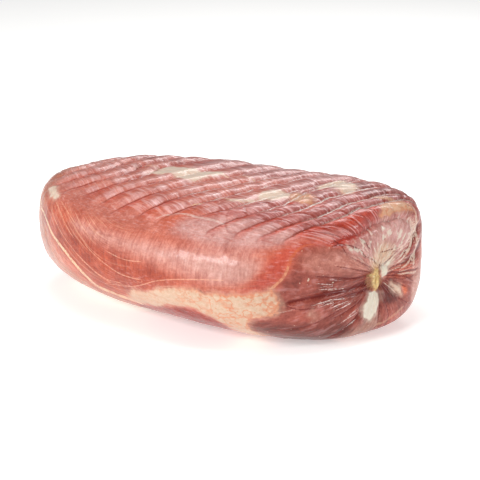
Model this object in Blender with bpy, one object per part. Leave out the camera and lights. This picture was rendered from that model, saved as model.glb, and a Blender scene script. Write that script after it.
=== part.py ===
"""Boneless cured ham, pressed into a flat-topped loaf and drawn together at one end.

The ham is one solid.  It lies along X with its plain end at -X and its gathered end at +X,
its rounded front side looks towards -Y, and it rests on a flat face at Z = 0.
The middle of the resting box is at X = Y = 0.
"""
import bpy
import numpy as np
from math import pi, radians

# Overall size, metres
LENGTH = 0.360
HEIGHT = 0.122
FRONT_REACH = 0.1285         # long axis to the front side
BACK_REACH = 0.0905          # long axis to the back side
WAIST = 0.55                 # height of the fullest line, as a share of the height
SINK = 0.0055                # how far the round underside is pressed flat by the weight
SKEW = 0.24                  # both ends lean this much along X for each metre of depth

# How square each quarter of the cross section is; 2 is round
TOP_FRONT_SQUARE = 3.65
TOP_BACK_SQUARE = 4.8
UNDER_FRONT_SQUARE = 2.1
UNDER_BACK_SQUARE = 3.2

# How blunt the ends are, seen from above and from the side
PLAIN_END_PLAN = 1.91
PLAIN_END_SIDE = 4.5
DRAWN_END_PLAN = 3.3
DRAWN_END_SIDE = 6.0
BACK_FLARE = 0.16            # the back side stands out more towards the drawn end
TOP_FLARE = 0.12             # so does the top
PUCKER_DROP = 0.0058         # the gathered spot lies this far under the waist

# Marks of the netting across the top, millimetres on the skin.
# Each mark: distance from the plain end at the crown, how far its front and its back run
# back towards the plain end, and how far down the front side it reaches.
NET_MARKS = (
    (87.0, 5.0, 9.0, 98.0),
    (117.0, 6.0, 10.0, 100.0),
    (145.0, 9.0, 13.0, 102.0),
    (168.0, 6.0, 12.0, 100.0),
    (194.5, 6.0, 0.0, 102.0),
    (224.0, 10.0, -3.0, 108.0),
    (252.0, 7.0, -3.0, 106.0),
    (280.0, 8.0, 0.0, 109.0),
    (311.0, 15.0, 0.0, 95.0),
    (338.0, 12.0, 12.0, 112.0),
    (358.0, 9.0, 8.0, 113.0),
    (378.0, 9.0, 7.0, 112.0),
    (390.0, 5.0, 5.0, 115.0),
    (416.0, 5.0, 4.0, 112.0),
)
CROWN_LINE = 60.0            # skin distance in front of the middle where a mark is furthest along
MARK_DEPTH = 2.5
MARK_REACH = 13.0            # half the swell between two marks
MARK_BACK_END = -104.0       # how far down the back side the marks run
MARK_FADE = 30.0

# Dip between the ridged top and the round front shoulder, millimetres
DIP_LINE = 125.0
DIP_SLANT = 0.17             # the dip climbs onto the top before this place along the loaf
DIP_SLANT_END = 270.0
DIP_DEPTH = 5.0
DIP_HALF_WIDTH = 18.0
SHOULDER_LINE = 163.0
SHOULDER_SWELL = 3.5
SHOULDER_HALF_WIDTH = 24.0

# Creases that run out from the gathered spot: angle from the front side, degrees,
# first and last distance from the spot, depth, millimetres
CREASES = (
    (22.0, 12.0, 54.0, 1.4),
    (52.0, 10.0, 66.0, 1.8),
    (74.0, 14.0, 48.0, 1.2),
    (99.0, 12.0, 52.0, 1.6),
    (124.0, 12.0, 58.0, 1.6),
    (150.0, 10.0, 84.0, 2.8),
    (171.0, 12.0, 76.0, 2.8),
    (188.0, 9.0, 68.0, 2.4),
    (227.0, 10.0, 50.0, 2.0),
    (263.0, 9.0, 62.0, 2.8),
    (285.0, 16.0, 56.0, 1.4),
    (307.0, 24.0, 80.0, 2.8),
    (327.0, 14.0, 50.0, 1.2),
    (342.0, 12.0, 72.0, 2.2),
    (355.0, 11.0, 100.0, 3.4),
    (9.0, 8.0, 78.0, 2.6),
)
CREASE_HALF_WIDTH = 3.4
PUCKER_RADIUS = 15.0
PUCKER_DEPTH = 5.0
KNOT_RADIUS = 6.5
KNOT_HEIGHT = 5.0

# Slow unevenness of the whole surface, millimetres
UNEVEN = 0.8

# Mesh
GIRTH_POINTS = 70
TABLE_STEPS = 2000
SHARP_ANGLE = 50.0

# Surface of cured lean meat
MEAT_COLOUR = (0.46, 0.16, 0.12)
MEAT_ROUGHNESS = 0.42
MEAT_METALLIC = 0.0


def remove_everything():
    """Empty the scene of objects."""
    for item in list(bpy.data.objects):
        bpy.data.objects.remove(item, do_unlink=True)


def smooth_step(value, low, high):
    """Rise smoothly from 0 at low to 1 at high."""
    share = np.clip((value - low) / (high - low), 0.0, 1.0)
    return share * share * (3.0 - 2.0 * share)


def end_closure(along):
    """Shares of the full width and height left at a place from -1 to 1 along the loaf."""
    reach = np.abs(along)
    plan = np.where(along < 0.0, PLAIN_END_PLAN, DRAWN_END_PLAN)
    side = np.where(along < 0.0, PLAIN_END_SIDE, DRAWN_END_SIDE)
    width = np.clip(1.0 - reach ** plan, 0.0, 1.0) ** (1.0 / plan)
    height = np.clip(1.0 - reach ** side, 0.0, 1.0) ** (1.0 / side)
    return width, height


def loaf_point(along, turn):
    """Point of the plain loaf: along from -1 to 1, turn in radians, up at 90 degrees."""
    width, height = end_closure(along)
    cosine = np.cos(turn)
    sine = np.sin(turn)
    upper = np.where(cosine < 0.0, TOP_FRONT_SQUARE, TOP_BACK_SQUARE)
    lower = np.where(cosine < 0.0, UNDER_FRONT_SQUARE, UNDER_BACK_SQUARE)
    square = np.where(sine > 0.0, upper, lower)
    round_off = (np.abs(cosine) ** square + np.abs(sine) ** square) ** (-1.0 / square)
    reach = np.where(cosine < 0.0, FRONT_REACH, BACK_REACH * (1.0 + BACK_FLARE * along))
    waist = WAIST * HEIGHT
    rise = np.where(sine > 0.0, (HEIGHT - waist) * (1.0 + TOP_FLARE * along), waist + SINK)
    drop = np.where(along > 0.0, (1.0 - height) * PUCKER_DROP, 0.0)
    y = width * cosine * round_off * reach
    z = waist - drop + height * sine * round_off * rise
    x = along * LENGTH / 2.0 + SKEW * y
    return np.stack(np.broadcast_arrays(x, y, np.maximum(z, 0.0)), axis=-1)


def skin_tables():
    """Skin distance along the loaf against place, and round the loaf against turn."""
    swing = np.linspace(-pi / 2.0, pi / 2.0, TABLE_STEPS + 1)
    along = np.sign(np.sin(swing)) * np.abs(np.sin(swing)) ** 0.5
    width, height = end_closure(along)
    radius = (width * (FRONT_REACH + BACK_REACH) + height * HEIGHT) / 4.0
    steps = np.hypot(np.diff(along) * LENGTH / 2.0, np.diff(radius))
    distance = 1000.0 * np.concatenate(([0.0], np.cumsum(steps)))
    turn = np.linspace(pi / 2.0, 2.5 * pi, 2 * TABLE_STEPS + 1)
    ring = loaf_point(np.zeros_like(turn), turn)
    steps = np.linalg.norm(np.diff(ring[:, 1:], axis=0), axis=1)
    girth = 1000.0 * np.concatenate(([0.0], np.cumsum(steps)))
    return along, distance, turn, girth


def stations(end):
    """Skin distances of the mesh rings: two beside each mark, one on it, one on each swell."""
    rings = [2.0, 6.0, 11.0, 17.0, 24.0, 32.0, 42.0, 53.0, 63.0, 72.0]
    marks = [mark[0] for mark in NET_MARKS]
    for place, following in zip(marks, marks[1:] + [None]):
        rings += [place - 3.5, place, place + 3.5]
        if following is not None:
            rings.append((place + following) / 2.0)
    start = rings[-1]
    count = 9
    shares = (np.arange(count) + 1.0) / count
    rings += list(start + (end - 2.0 - start) * shares)
    return np.array(rings)


def mark_relief(distance, girth):
    """Pressed lines of the netting with the meat swelling softly between them."""
    relief = np.zeros_like(distance)
    front = np.clip((girth - CROWN_LINE) / 45.0, 0.0, 1.2)
    back = np.clip((CROWN_LINE - girth) / 50.0, 0.0, 1.2)
    for place, front_run, back_run, front_end in NET_MARKS:
        line = place - front_run * front ** 2 - back_run * back ** 2
        swell = np.clip(1.0 - np.abs(distance - line) / MARK_REACH, 0.0, 1.0) ** 2
        fade = 1.0 - smooth_step(girth, front_end - MARK_FADE / 2.0, front_end + MARK_FADE / 2.0)
        fade = fade * smooth_step(girth, MARK_BACK_END - MARK_FADE, MARK_BACK_END + MARK_FADE)
        relief = np.minimum(relief, -MARK_DEPTH * swell * fade)
    return relief


def shoulder_relief(distance, girth):
    """Shallow dip along the front edge of the top, and the fuller shoulder below it."""
    window = smooth_step(distance, 120.0, 210.0) * (1.0 - smooth_step(distance, 355.0, 415.0))
    line = DIP_LINE - DIP_SLANT * np.clip(DIP_SLANT_END - distance, 0.0, None)
    dip = np.exp(-((girth - line) / DIP_HALF_WIDTH) ** 2)
    swell = np.exp(-((girth - SHOULDER_LINE) / SHOULDER_HALF_WIDTH) ** 2)
    return window * (SHOULDER_SWELL * swell - DIP_DEPTH * dip)


def pucker_relief(points, end_share):
    """Creases that run to the gathered spot, the hollow round it and the knot of skin in it."""
    y = -1000.0 * points[..., 1]
    z = 1000.0 * (points[..., 2] - WAIST * HEIGHT + PUCKER_DROP)
    reach = np.hypot(y, z)
    angle = np.arctan2(z, y)
    relief = np.zeros_like(reach)
    for heading, first, last, depth in CREASES:
        turned = angle - radians(heading)
        across = reach * np.sin(turned)
        near = np.cos(turned) > 0.0
        window = smooth_step(reach, first - 6.0, first + 6.0)
        window = window * (1.0 - smooth_step(reach, last - 24.0, last))
        groove = np.exp(-(across / CREASE_HALF_WIDTH) ** 2) * window * near
        relief = relief - depth * groove
    hollow = np.exp(-(reach / PUCKER_RADIUS) ** 2)
    knot = np.exp(-(reach / KNOT_RADIUS) ** 4)
    return end_share * (relief - PUCKER_DEPTH * hollow + KNOT_HEIGHT * knot)


def uneven_relief(distance, girth):
    """Slow swells that keep the loaf from looking turned on a machine."""
    wave = np.sin(distance / 31.0 + 0.7) * np.sin(girth / 37.0 + 0.4)
    wave = wave + 0.6 * np.sin(distance / 17.0 - girth / 43.0 + 1.9)
    return UNEVEN * wave / 1.6


def ring_normals(points):
    """Outward directions of a grid whose rows are rings and whose columns close up."""
    down = np.gradient(points, axis=0)
    around = np.roll(points, -1, axis=1) - np.roll(points, 1, axis=1)
    normal = np.cross(around, down)
    length = np.linalg.norm(normal, axis=-1, keepdims=True)
    normal = normal / np.maximum(length, 1e-12)
    outward = np.sum(normal * (points - points.mean(axis=(0, 1))), axis=-1).mean()
    return normal * np.sign(outward)


def ham_grid():
    """Rings of points of the finished surface and its two end points."""
    along_table, distance_table, turn_table, girth_table = skin_tables()
    end = distance_table[-1]
    rings = stations(end)
    full = girth_table[-1]
    girth = np.arange(GIRTH_POINTS) * full / GIRTH_POINTS
    turn = np.interp(girth, girth_table, turn_table)
    along = np.interp(rings, distance_table, along_table)
    surface = loaf_point(along[:, None], turn[None, :])
    signed = np.where(girth > full / 2.0, girth - full, girth)
    distance, around = np.meshgrid(rings, signed, indexing="ij")
    relief = mark_relief(distance, around)
    relief = relief + shoulder_relief(distance, around)
    relief = relief + pucker_relief(surface, smooth_step(surface[..., 0], 0.08, 0.13))
    ends = smooth_step(distance, 0.0, 40.0) * (1.0 - smooth_step(distance, end - 40.0, end))
    relief = relief + uneven_relief(distance, around) * ends
    relief = np.where(surface[..., 2] <= 0.0, 0.0, relief)
    points = surface + ring_normals(surface) * relief[..., None] / 1000.0
    points[..., 2] = np.maximum(points[..., 2], 0.0)
    plain = loaf_point(np.array([-1.0]), np.array([0.0]))[0]
    drawn = loaf_point(np.array([1.0]), np.array([0.0]))[0]
    drawn[0] -= (PUCKER_DEPTH - KNOT_HEIGHT) / 1000.0
    return points, plain, drawn


def centre_on_box(points, plain, drawn):
    """Move everything so that the box rests on Z = 0 with its middle at X = Y = 0."""
    everything = np.concatenate([points.reshape(-1, 3), plain[None], drawn[None]])
    low = everything.min(axis=0)
    high = everything.max(axis=0)
    return everything - np.array([(low[0] + high[0]) / 2.0, (low[1] + high[1]) / 2.0, low[2]])


def ham_faces(rows, columns):
    """Triangles between neighbouring rings, and fans to the two end points."""
    row, column = np.meshgrid(np.arange(rows - 1), np.arange(columns), indexing="ij")
    here = (row * columns + column).ravel()
    beside = (row * columns + (column + 1) % columns).ravel()
    below = here + columns
    across = beside + columns
    first = np.stack([here, across, below], axis=1)
    second = np.stack([here, beside, across], axis=1)
    ring = np.arange(columns)
    following = (ring + 1) % columns
    plain = rows * columns
    last = (rows - 1) * columns
    start = np.stack([np.full(columns, plain), following, ring], axis=1)
    finish = np.stack([np.full(columns, plain + 1), last + ring, last + following], axis=1)
    return np.concatenate([first, second, start, finish])


def meat_material():
    """Moist cured lean meat with a soft shine."""
    material = bpy.data.materials.new("cured_meat")
    material.use_nodes = True
    shader = material.node_tree.nodes["Principled BSDF"]
    shader.inputs["Base Color"].default_value = (*MEAT_COLOUR, 1.0)
    shader.inputs["Roughness"].default_value = MEAT_ROUGHNESS
    shader.inputs["Metallic"].default_value = MEAT_METALLIC
    return material


def build_ham():
    """Make the ham's one closed body."""
    points, plain, drawn = ham_grid()
    rows, columns = points.shape[:2]
    vertices = centre_on_box(points, plain, drawn)
    faces = ham_faces(rows, columns)
    mesh = bpy.data.meshes.new("ham")
    mesh.from_pydata(vertices.tolist(), [], faces.tolist())
    mesh.validate()
    mesh.materials.append(meat_material())
    mesh.shade_smooth()
    mesh.set_sharp_from_angle(angle=radians(SHARP_ANGLE))
    ham = bpy.data.objects.new("ham", mesh)
    bpy.context.scene.collection.objects.link(ham)
    return ham


remove_everything()
build_ham()
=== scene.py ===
import bpy
import numpy as np
from functools import partial, reduce
from math import cos, pi, radians, sin
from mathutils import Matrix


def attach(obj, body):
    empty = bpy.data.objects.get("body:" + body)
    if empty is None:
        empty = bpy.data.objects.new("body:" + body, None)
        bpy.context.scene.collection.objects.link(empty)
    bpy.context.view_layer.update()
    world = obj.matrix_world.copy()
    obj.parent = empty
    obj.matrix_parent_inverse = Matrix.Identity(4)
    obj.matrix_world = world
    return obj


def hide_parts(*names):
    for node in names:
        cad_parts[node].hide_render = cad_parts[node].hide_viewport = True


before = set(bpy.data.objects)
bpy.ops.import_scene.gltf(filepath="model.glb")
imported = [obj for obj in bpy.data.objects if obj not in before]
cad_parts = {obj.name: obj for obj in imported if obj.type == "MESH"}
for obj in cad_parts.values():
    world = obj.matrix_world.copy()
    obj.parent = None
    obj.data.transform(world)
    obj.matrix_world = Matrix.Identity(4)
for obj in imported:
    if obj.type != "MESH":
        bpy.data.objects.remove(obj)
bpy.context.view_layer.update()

# Boneless cured ham in its pressed loaf shape, as one closed surface with its skin of lean,
# fat, net marks and gathered end, and the pale stage that it lies on.

bl_info = {
    "name": "Boneless cured ham",
    "version": (1, 0, 0),
    "blender": (4, 5, 0),
    "location": "3D View > Sidebar > Ham",
    "description": "Builds a pressed boneless cured ham and a pale stage for it",
    "category": "Add Mesh",
}

# Plain loaf: how square each quarter of the cross section is, and how blunt the ends are
TOP_FRONT_SQUARE = 3.65
TOP_BACK_SQUARE = 4.8
UNDER_FRONT_SQUARE = 2.1
UNDER_BACK_SQUARE = 3.2
PLAIN_END_PLAN = 1.91
PLAIN_END_SIDE = 4.5
DRAWN_END_PLAN = 3.3
DRAWN_END_SIDE = 6.0
WAIST = 0.55                 # height of the fullest line, as a share of the whole
SKEW = 0.24                  # how far the cross sections lean along the loaf
BACK_FLARE = 0.16            # how much fuller the back and the top get towards the drawn end
TOP_FLARE = 0.12
LOAF_CENTRE = (0.00271767, -0.01838664, 0.0)   # of the solid's box, in the loaf's own frame
TABLE_STEPS = 2000
FINE_STEPS = 20001

# Spacing of the mesh, millimetres: places along the skin or round it, and the gaps there
RING_PLACES = (1.0, 50.0, 90.0, 375.0, 430.0)
RING_GAPS = (2.6, 2.2, 1.35, 1.3, 0.8, 0.5)
LAST_RING = 0.7              # from the last ring to the gathered spot
ROUND_PLACES = (-120.0, -70.0, 225.0, 250.0)
ROUND_GAPS = (4.6, 3.4, 1.55, 1.55, 3.6, 4.6)
WRAP_LINE = -150.0           # line on the back from which the skin chart is unrolled
END_CHART = (0.08, 0.13)     # metres along the loaf: where the end chart starts and is full
NOISE_SIZE = 128             # cells of the noise lattice before it repeats
END_FADE = 40.0              # over which the slow swells fade out at each end

# Net marks across the top: place at the crown, how far the front and the back run back,
# and how far down the front side the mark reaches, all in millimetres on the skin
NET_MARKS = (
    (62.0, 4.0, 8.0, 78.0),
    (87.0, 5.0, 9.0, 98.0),
    (117.0, 6.0, 10.0, 100.0),
    (145.0, 9.0, 13.0, 102.0),
    (168.0, 6.0, 12.0, 100.0),
    (194.5, 6.0, 0.0, 102.0),
    (224.0, 10.0, -3.0, 108.0),
    (252.0, 7.0, -3.0, 106.0),
    (280.0, 8.0, 0.0, 109.0),
    (311.0, 15.0, 0.0, 95.0),
    (338.0, 12.0, 12.0, 112.0),
    (358.0, 9.0, 8.0, 113.0),
    (378.0, 9.0, 7.0, 112.0),
    (390.0, 5.0, 5.0, 115.0),
    (416.0, 5.0, 4.0, 112.0),
)
CROWN_LINE = 60.0
MARK_FRONT_SPAN = 45.0       # from the crown line to where a mark has run back in full
MARK_BACK_SPAN = 50.0
MARK_OVERRUN = 1.2           # share of those spans at which it stops running back
MARK_WANDER = 0.9            # how far a mark wanders, and over what step
MARK_WANDER_STEP = 9.0
MARK_SEED = 3
MARK_REACH = 13.0            # from a mark's bottom to the top of the swell beside it
MARK_BACK_END = -104.0       # where the marks end at the back, and how softly
MARK_FADE = 30.0
MARK_NICK = 0.4              # narrow groove at the bottom of a mark, and its half width
MARK_NICK_HALF = 1.5
CREST_POWER = 1.5
CREST_FALL = (0.76, 0.99)    # share of a ridge over which its crest falls to the next mark
# Orange red after each mark: partly painted shade on the flank that leans away from the lamps
FLUSH_AND_SHADE_STRENGTH = 0.95
FAT_RISE = 0.35              # how far fat stands over lean

# Small dents and swells: height, step along, step round, shift and seed of each layer
FINE_LAYERS = ((0.30, 8.5, 8.5, 0.0, 11), (0.16, 3.8, 4.4, 7.0, 12))

# Dip along the front edge of the top and the full shoulder under it, millimetres
DIP_LINE = 125.0
DIP_SLANT = 0.17
DIP_SLANT_END = 270.0
DIP_HALF_WIDTH = 18.0
SHOULDER_LINE = 163.0
SHOULDER_HALF_WIDTH = 24.0

# Cells between two net marks: how far a border bends, its slant, and the cells' pitch, each
# for the small cells at the left and as what the large ones at the right have more
CELL_BEND = (3.0, 14.0)
CELL_SLANT = (8.0, -4.0)
CELL_PITCH = (13.0, 15.0)
CELL_DEPTH_SHARE = (0.30, 0.95)
# How strongly the cells' borders are darkened, partly painted shade, at the left and more at the
# right
CELL_SEEN = (0.30, 0.70)
MIDDLE_CELL_SHARE = 0.225    # what the cells in the middle lack in depth

# Where something fades in on the skin: coordinate, where it is nothing and where it is full,
# in millimetres or as a share of a ridge; a window of several is their product
WINDOWS = {
    "shoulder_swell": (("distance", 120.0, 210.0), ("distance", 415.0, 355.0)),
    "fine_dents": (("distance", 8.0, 45.0),),
    "large_cells": (("distance", 300.0, 345.0),),
    "middle_cells": (("distance", 190.0, 235.0), ("distance", 345.0, 300.0)),
    "after_mark": (("share", 0.56, 0.12),),
    "before_mark": (("share", 0.46, 0.76), ("share", 1.0, 0.88)),
    # Less of the crests' pink and painted sheen towards the gathered end
    "less_pink_and_sheen": (("distance", 300.0, 350.0),),
    "veins": (("distance", 290.0, 350.0),),
    "strong_ridges": (("distance", 180.0, 300.0),),
    "far_ridges": (("distance", 320.0, 365.0),),
    "before_end": (("distance", 400.0, 384.0),),
    "band": (("wrapped", 116.0, 130.0), ("distance", 275.0, 215.0)),
    "band_full": (("distance", 50.0, 110.0),),
    "band_under": (("wrapped", 215.0, 260.0),),
    "print_middle": (("distance", 215.0, 260.0),),
    "print_top": (("girth", 84.0, 55.0),),
    "shoulder": (("wrapped", 118.0, 132.0), ("wrapped", 178.0, 158.0),
                 ("distance", 150.0, 210.0), ("distance", 395.0, 360.0)),
}

# Deep creases of the gathered end: heading in degrees from the front side,
# first and last distance from the gathered spot, and depth, millimetres
CREASES = (
    (22.0, 12.0, 54.0, 1.4), (52.0, 10.0, 66.0, 1.8), (74.0, 14.0, 48.0, 1.2),
    (99.0, 12.0, 52.0, 1.6), (124.0, 12.0, 58.0, 1.6), (150.0, 10.0, 84.0, 2.8),
    (171.0, 12.0, 76.0, 2.8), (188.0, 9.0, 68.0, 2.4), (227.0, 10.0, 50.0, 2.0),
    (263.0, 9.0, 62.0, 2.8), (285.0, 16.0, 56.0, 1.4), (307.0, 24.0, 80.0, 2.8),
    (327.0, 14.0, 50.0, 1.2), (342.0, 12.0, 72.0, 2.2), (355.0, 11.0, 100.0, 3.4),
    (9.0, 8.0, 78.0, 2.6),
)
CREASE_HALF_WIDTH = 3.0
CREASE_SHARE = 0.42          # the narrow creases below make up the rest of the depth
CREASE_START = 6.0           # lengths over which a crease starts and fades out
CREASE_FADE = 24.0
PUCKER_RADIUS = 15.0
KNOT_WIDTH = 5.0
KNOT_REACH = 9.5
KNOT_PLACE = (1.5, -3.0)     # across and up from the gathered spot
TUFT_PLACE = (-8.0, 2.0)
TUFT_SHARE = 0.7

# Narrow creases of the gathered end, drawn as lines of (across, up) from the gathered spot,
# millimetres: depth, half width at each end, then the line from its thin end inwards
NARROW_CREASES = (
    (0.9, 0.4, 0.9, ((63, 12), (47, 8), (32, 4), (19, 2), (6, 1))),
    (2.0, 1.0, 2.3, ((84, -9), (69, -7), (56, -6), (42, -6), (30, -6), (21, -5), (12, -5))),
    (1.4, 0.6, 1.3, ((55, -14), (42, -12), (29, -11), (18, -11), (9, -10))),
    (0.6, 0.4, 0.6, ((86, -11), (82, -14), (75, -17), (64, -17))),
    (1.3, 1.3, 0.4, ((36, -52), (34, -48), (31, -41), (25, -36), (20, -30))),
    (1.1, 0.4, 0.8, ((-6, -52), (-5, -43), (-4, -31), (-3, -19), (-4, -8))),
    (1.0, 0.9, 0.8, ((-54, -7), (-48, -6), (-38, -4), (-28, -3), (-19, -1), (-12, 0))),
    (0.7, 0.4, 0.6, ((-43, -14), (-34, -8), (-21, -5), (-8, -2))),
    (1.5, 2.8, 1.1, ((-58, 16), (-53, 12), (-47, 9), (-39, 7), (-32, 5))),
    (0.9, 1.0, 0.6, ((-48, 5), (-44, 4), (-34, 4), (-25, 5), (-14, 3))),
    (1.0, 2.4, 0.9, ((-55, 34), (-52, 28), (-46, 22), (-40, 18), (-32, 14))),
    (0.8, 0.5, 0.9, ((-23, 18), (-17, 14), (-10, 10), (-6, 7))),
    (0.8, 0.8, 0.5, ((-27, -28), (-24, -22), (-17, -14), (-11, -7))),
    (0.7, 0.5, 0.7, ((-31, -16), (-26, -13), (-16, -7))),
    (0.8, 0.7, 0.9, ((-4, 9), (-3, 6), (-2, 1))),
    (0.5, 0.5, 0.5, ((20, -26), (19, -32))),
    (0.6, 0.4, 0.5, ((48, 37), (40, 37), (30, 34), (21, 29), (15, 21))),
    (0.6, 0.4, 0.5, ((45, 41), (41, 37), (37, 30))),
    (0.6, 0.4, 0.5, ((19, 38), (15, 33), (11, 28))),
    (0.4, 0.3, 0.4, ((30, 23), (19, 16), (7, 9))),
    (0.4, 0.3, 0.4, ((45, 18), (30, 13), (7, 4))),
    (0.4, 0.3, 0.5, ((15, 21), (5, 16), (1, 11))),
    (0.5, 0.3, 0.4, ((-24, 21), (-14, 21), (-5, 21))),
    (0.7, 0.4, 0.8, ((7, -17), (10, -10), (6, -5))),
    (0.6, 0.3, 0.5, ((80, -38), (66, -35), (54, -28), (40, -22))),
    (0.6, 0.3, 0.6, ((48, -30), (30, -24), (18, -18))),
    (0.6, 0.3, 0.5, ((-46, -38), (-30, -30), (-12, -14))),
    (0.6, 0.3, 0.5, ((-18, -52), (-14, -38), (-7, -22))),
)

# Soft regions of the lean, each with its colour's name, softness in millimetres, chart and
# outline.  The skin chart holds the distance along the skin from the plain end and the
# distance round it from the crown's middle towards the front; the end chart holds the
# distances across and up from the gathered spot.
LEAN_REGIONS = (
    ("outer_lean", 14.0, "skin", ((-30, -220), (44, -220), (46, -90), (60, -40), (100, 100),
        (118, 136), (150, 172), (190, 204), (226, 222), (226, 300), (150, 360), (60, 410),
        (44, 520), (-30, 520))),
    ("orange_band", 9.0, "skin", ((112, 140), (128, 136), (152, 138), (176, 137), (204, 138),
        (236, 145), (270, 150), (300, 153), (324, 156), (312, 165), (282, 170), (268, 186),
        (226, 206), (204, 201), (190, 182), (160, 166), (134, 154), (112, 146))),
    ("valley_red", 11.0, "skin", ((96, 108), (120, 88), (150, 94), (180, 96), (214, 100),
        (262, 114), (300, 121), (280, 129), (230, 127), (190, 123), (150, 122), (118, 122))),
    # The shoulder's pale pink is partly a painted highlight, lighter where the front lamp's shine
    # falls
    ("shoulder_pink_and_highlight", 12.0, "skin", ((170, 134), (215, 137), (260, 139), (305, 138), (345, 136),
        (374, 138), (372, 160), (342, 163), (326, 156), (290, 151), (262, 147), (205, 143))),
    ("far_edge", 13.0, "skin", ((50, -20), (200, -22), (330, -46), (404, -56), (404, -130),
        (200, -150), (50, -120))),
    ("top_dark", 22.0, "skin", ((100, -30), (200, -22), (290, -22), (325, 30), (330, 80),
        (350, 112), (400, 104), (415, 40), (400, -90), (330, -120), (200, -130), (100, -110))),
    ("far_red", 16.0, "skin", ((300, 84), (316, 40), (322, -20), (334, -60), (350, -104),
        (404, -100), (410, -30), (406, 60), (400, 104), (370, 112), (330, 108))),
    ("lens_red", 5.0, "skin", ((230, 216), (248, 213), (263, 208), (281, 200), (300, 194),
        (314, 195), (322, 204), (328, 214), (322, 240), (290, 262), (240, 262), (226, 240))),
    ("mid_pink", 9.0, "skin", ((290, 104), (318, 96), (345, 92), (372, 98), (392, 108), (386, 122),
        (360, 132), (320, 130), (285, 122))),
    ("deep_orange", 5.0, "skin", ((288, 170), (300, 168), (335, 166), (362, 160), (374, 148),
        (382, 150), (374, 166), (330, 169), (294, 175))),
    ("deep_red", 5.0, "skin", ((362, 166), (374, 150), (378, 138), (384, 127), (397, 112),
        (408, 99), (420, 99), (412, 118), (401, 124), (394, 131), (391, 139), (388, 150),
        (384, 158), (376, 163), (366, 166))),
    ("end_lean", 3.0, "skin", ((396, 120), (413, 115), (433, 120), (449, 128), (470, 133),
        (470, 452), (407, 452), (370, 420), (360, 330), (352, 229), (354, 205), (375, 192),
        (383, 180), (382, 161), (389, 153), (392, 139), (394, 128))),
    ("end_light", 8.0, "end", ((78, 30), (61, 34), (37, 30), (18, 20), (8, 9), (21, 9), (48, 14),
        (66, 17))),
    ("dip_red", 4.0, "end", ((54, 43), (34, 48), (16, 51), (-2, 55), (-8, 54), (-3, 48), (6, 43),
        (21, 38), (37, 35), (47, 37))),
    ("dip_red", 5.0, "skin", ((393, 84), (388, 58), (386, 34), (387, 19), (396, 45), (400, 72))),
    ("mottled_pink", 6.0, "end", ((40, 32), (25, 38), (12, 42), (-1, 48), (-14, 50), (-29, 50),
        (-44, 44), (-54, 34), (-56, 18), (-40, 10), (-24, 6), (-8, 6), (4, 10), (18, 20))),
    ("gather_cream", 6.0, "end", ((8, 8), (5, 20), (-2, 30), (-12, 28), (-21, 17), (-15, 4),
        (-4, 4))),
    ("right_red", 4.0, "end", ((-30, 6), (-25, 13), (-35, 18), (-44, 25), (-52, 35), (-60, 30),
        (-60, 4), (-46, 2))),
    ("wedge_dark", 2.5, "end", ((-5, -10), (-11, -10), (-19, -17), (-26, -28), (-14, -29),
        (-5, -27))),
    ("spot_red", 2.0, "end", ((-27, -13), (-33, -17), (-38, -22), (-34, -26), (-29, -22))),
    ("ridge_flush", 6.0, "skin", ((408, 74), (408, 44), (399, 5), (392, -14), (386, -14), (392, 20),
        (398, 50), (400, 78))),
    ("back_maroon", 8.0, "skin", ((330, -44), (339, -56), (353, -64), (368, -72), (384, -66),
        (380, -50), (371, -34), (362, -24), (351, -26), (340, -32))),
    ("low_brown", 9.0, "end", ((20, -52), (-6, -46), (-23, -40), (-40, -32), (-52, -22), (-66, -30),
        (-60, -62), (30, -66))),
    # Painted shade: the bottom edge under the gathered end darkened
    ("bottom_painted_shade", 7.0, "end", ((98, -34), (84, -30), (60, -34), (46, -34), (34, -36), (24, -44),
        (22, -66), (92, -66))),
    ("rim_pale", 4.0, "end", ((-43, -4), (-45, -16), (-43, -34), (-62, -40), (-62, 0))),
    ("under_gather", 7.0, "end", ((9, -36), (22, -44), (30, -56), (0, -62), (-8, -50), (-4, -38))),
)

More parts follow.
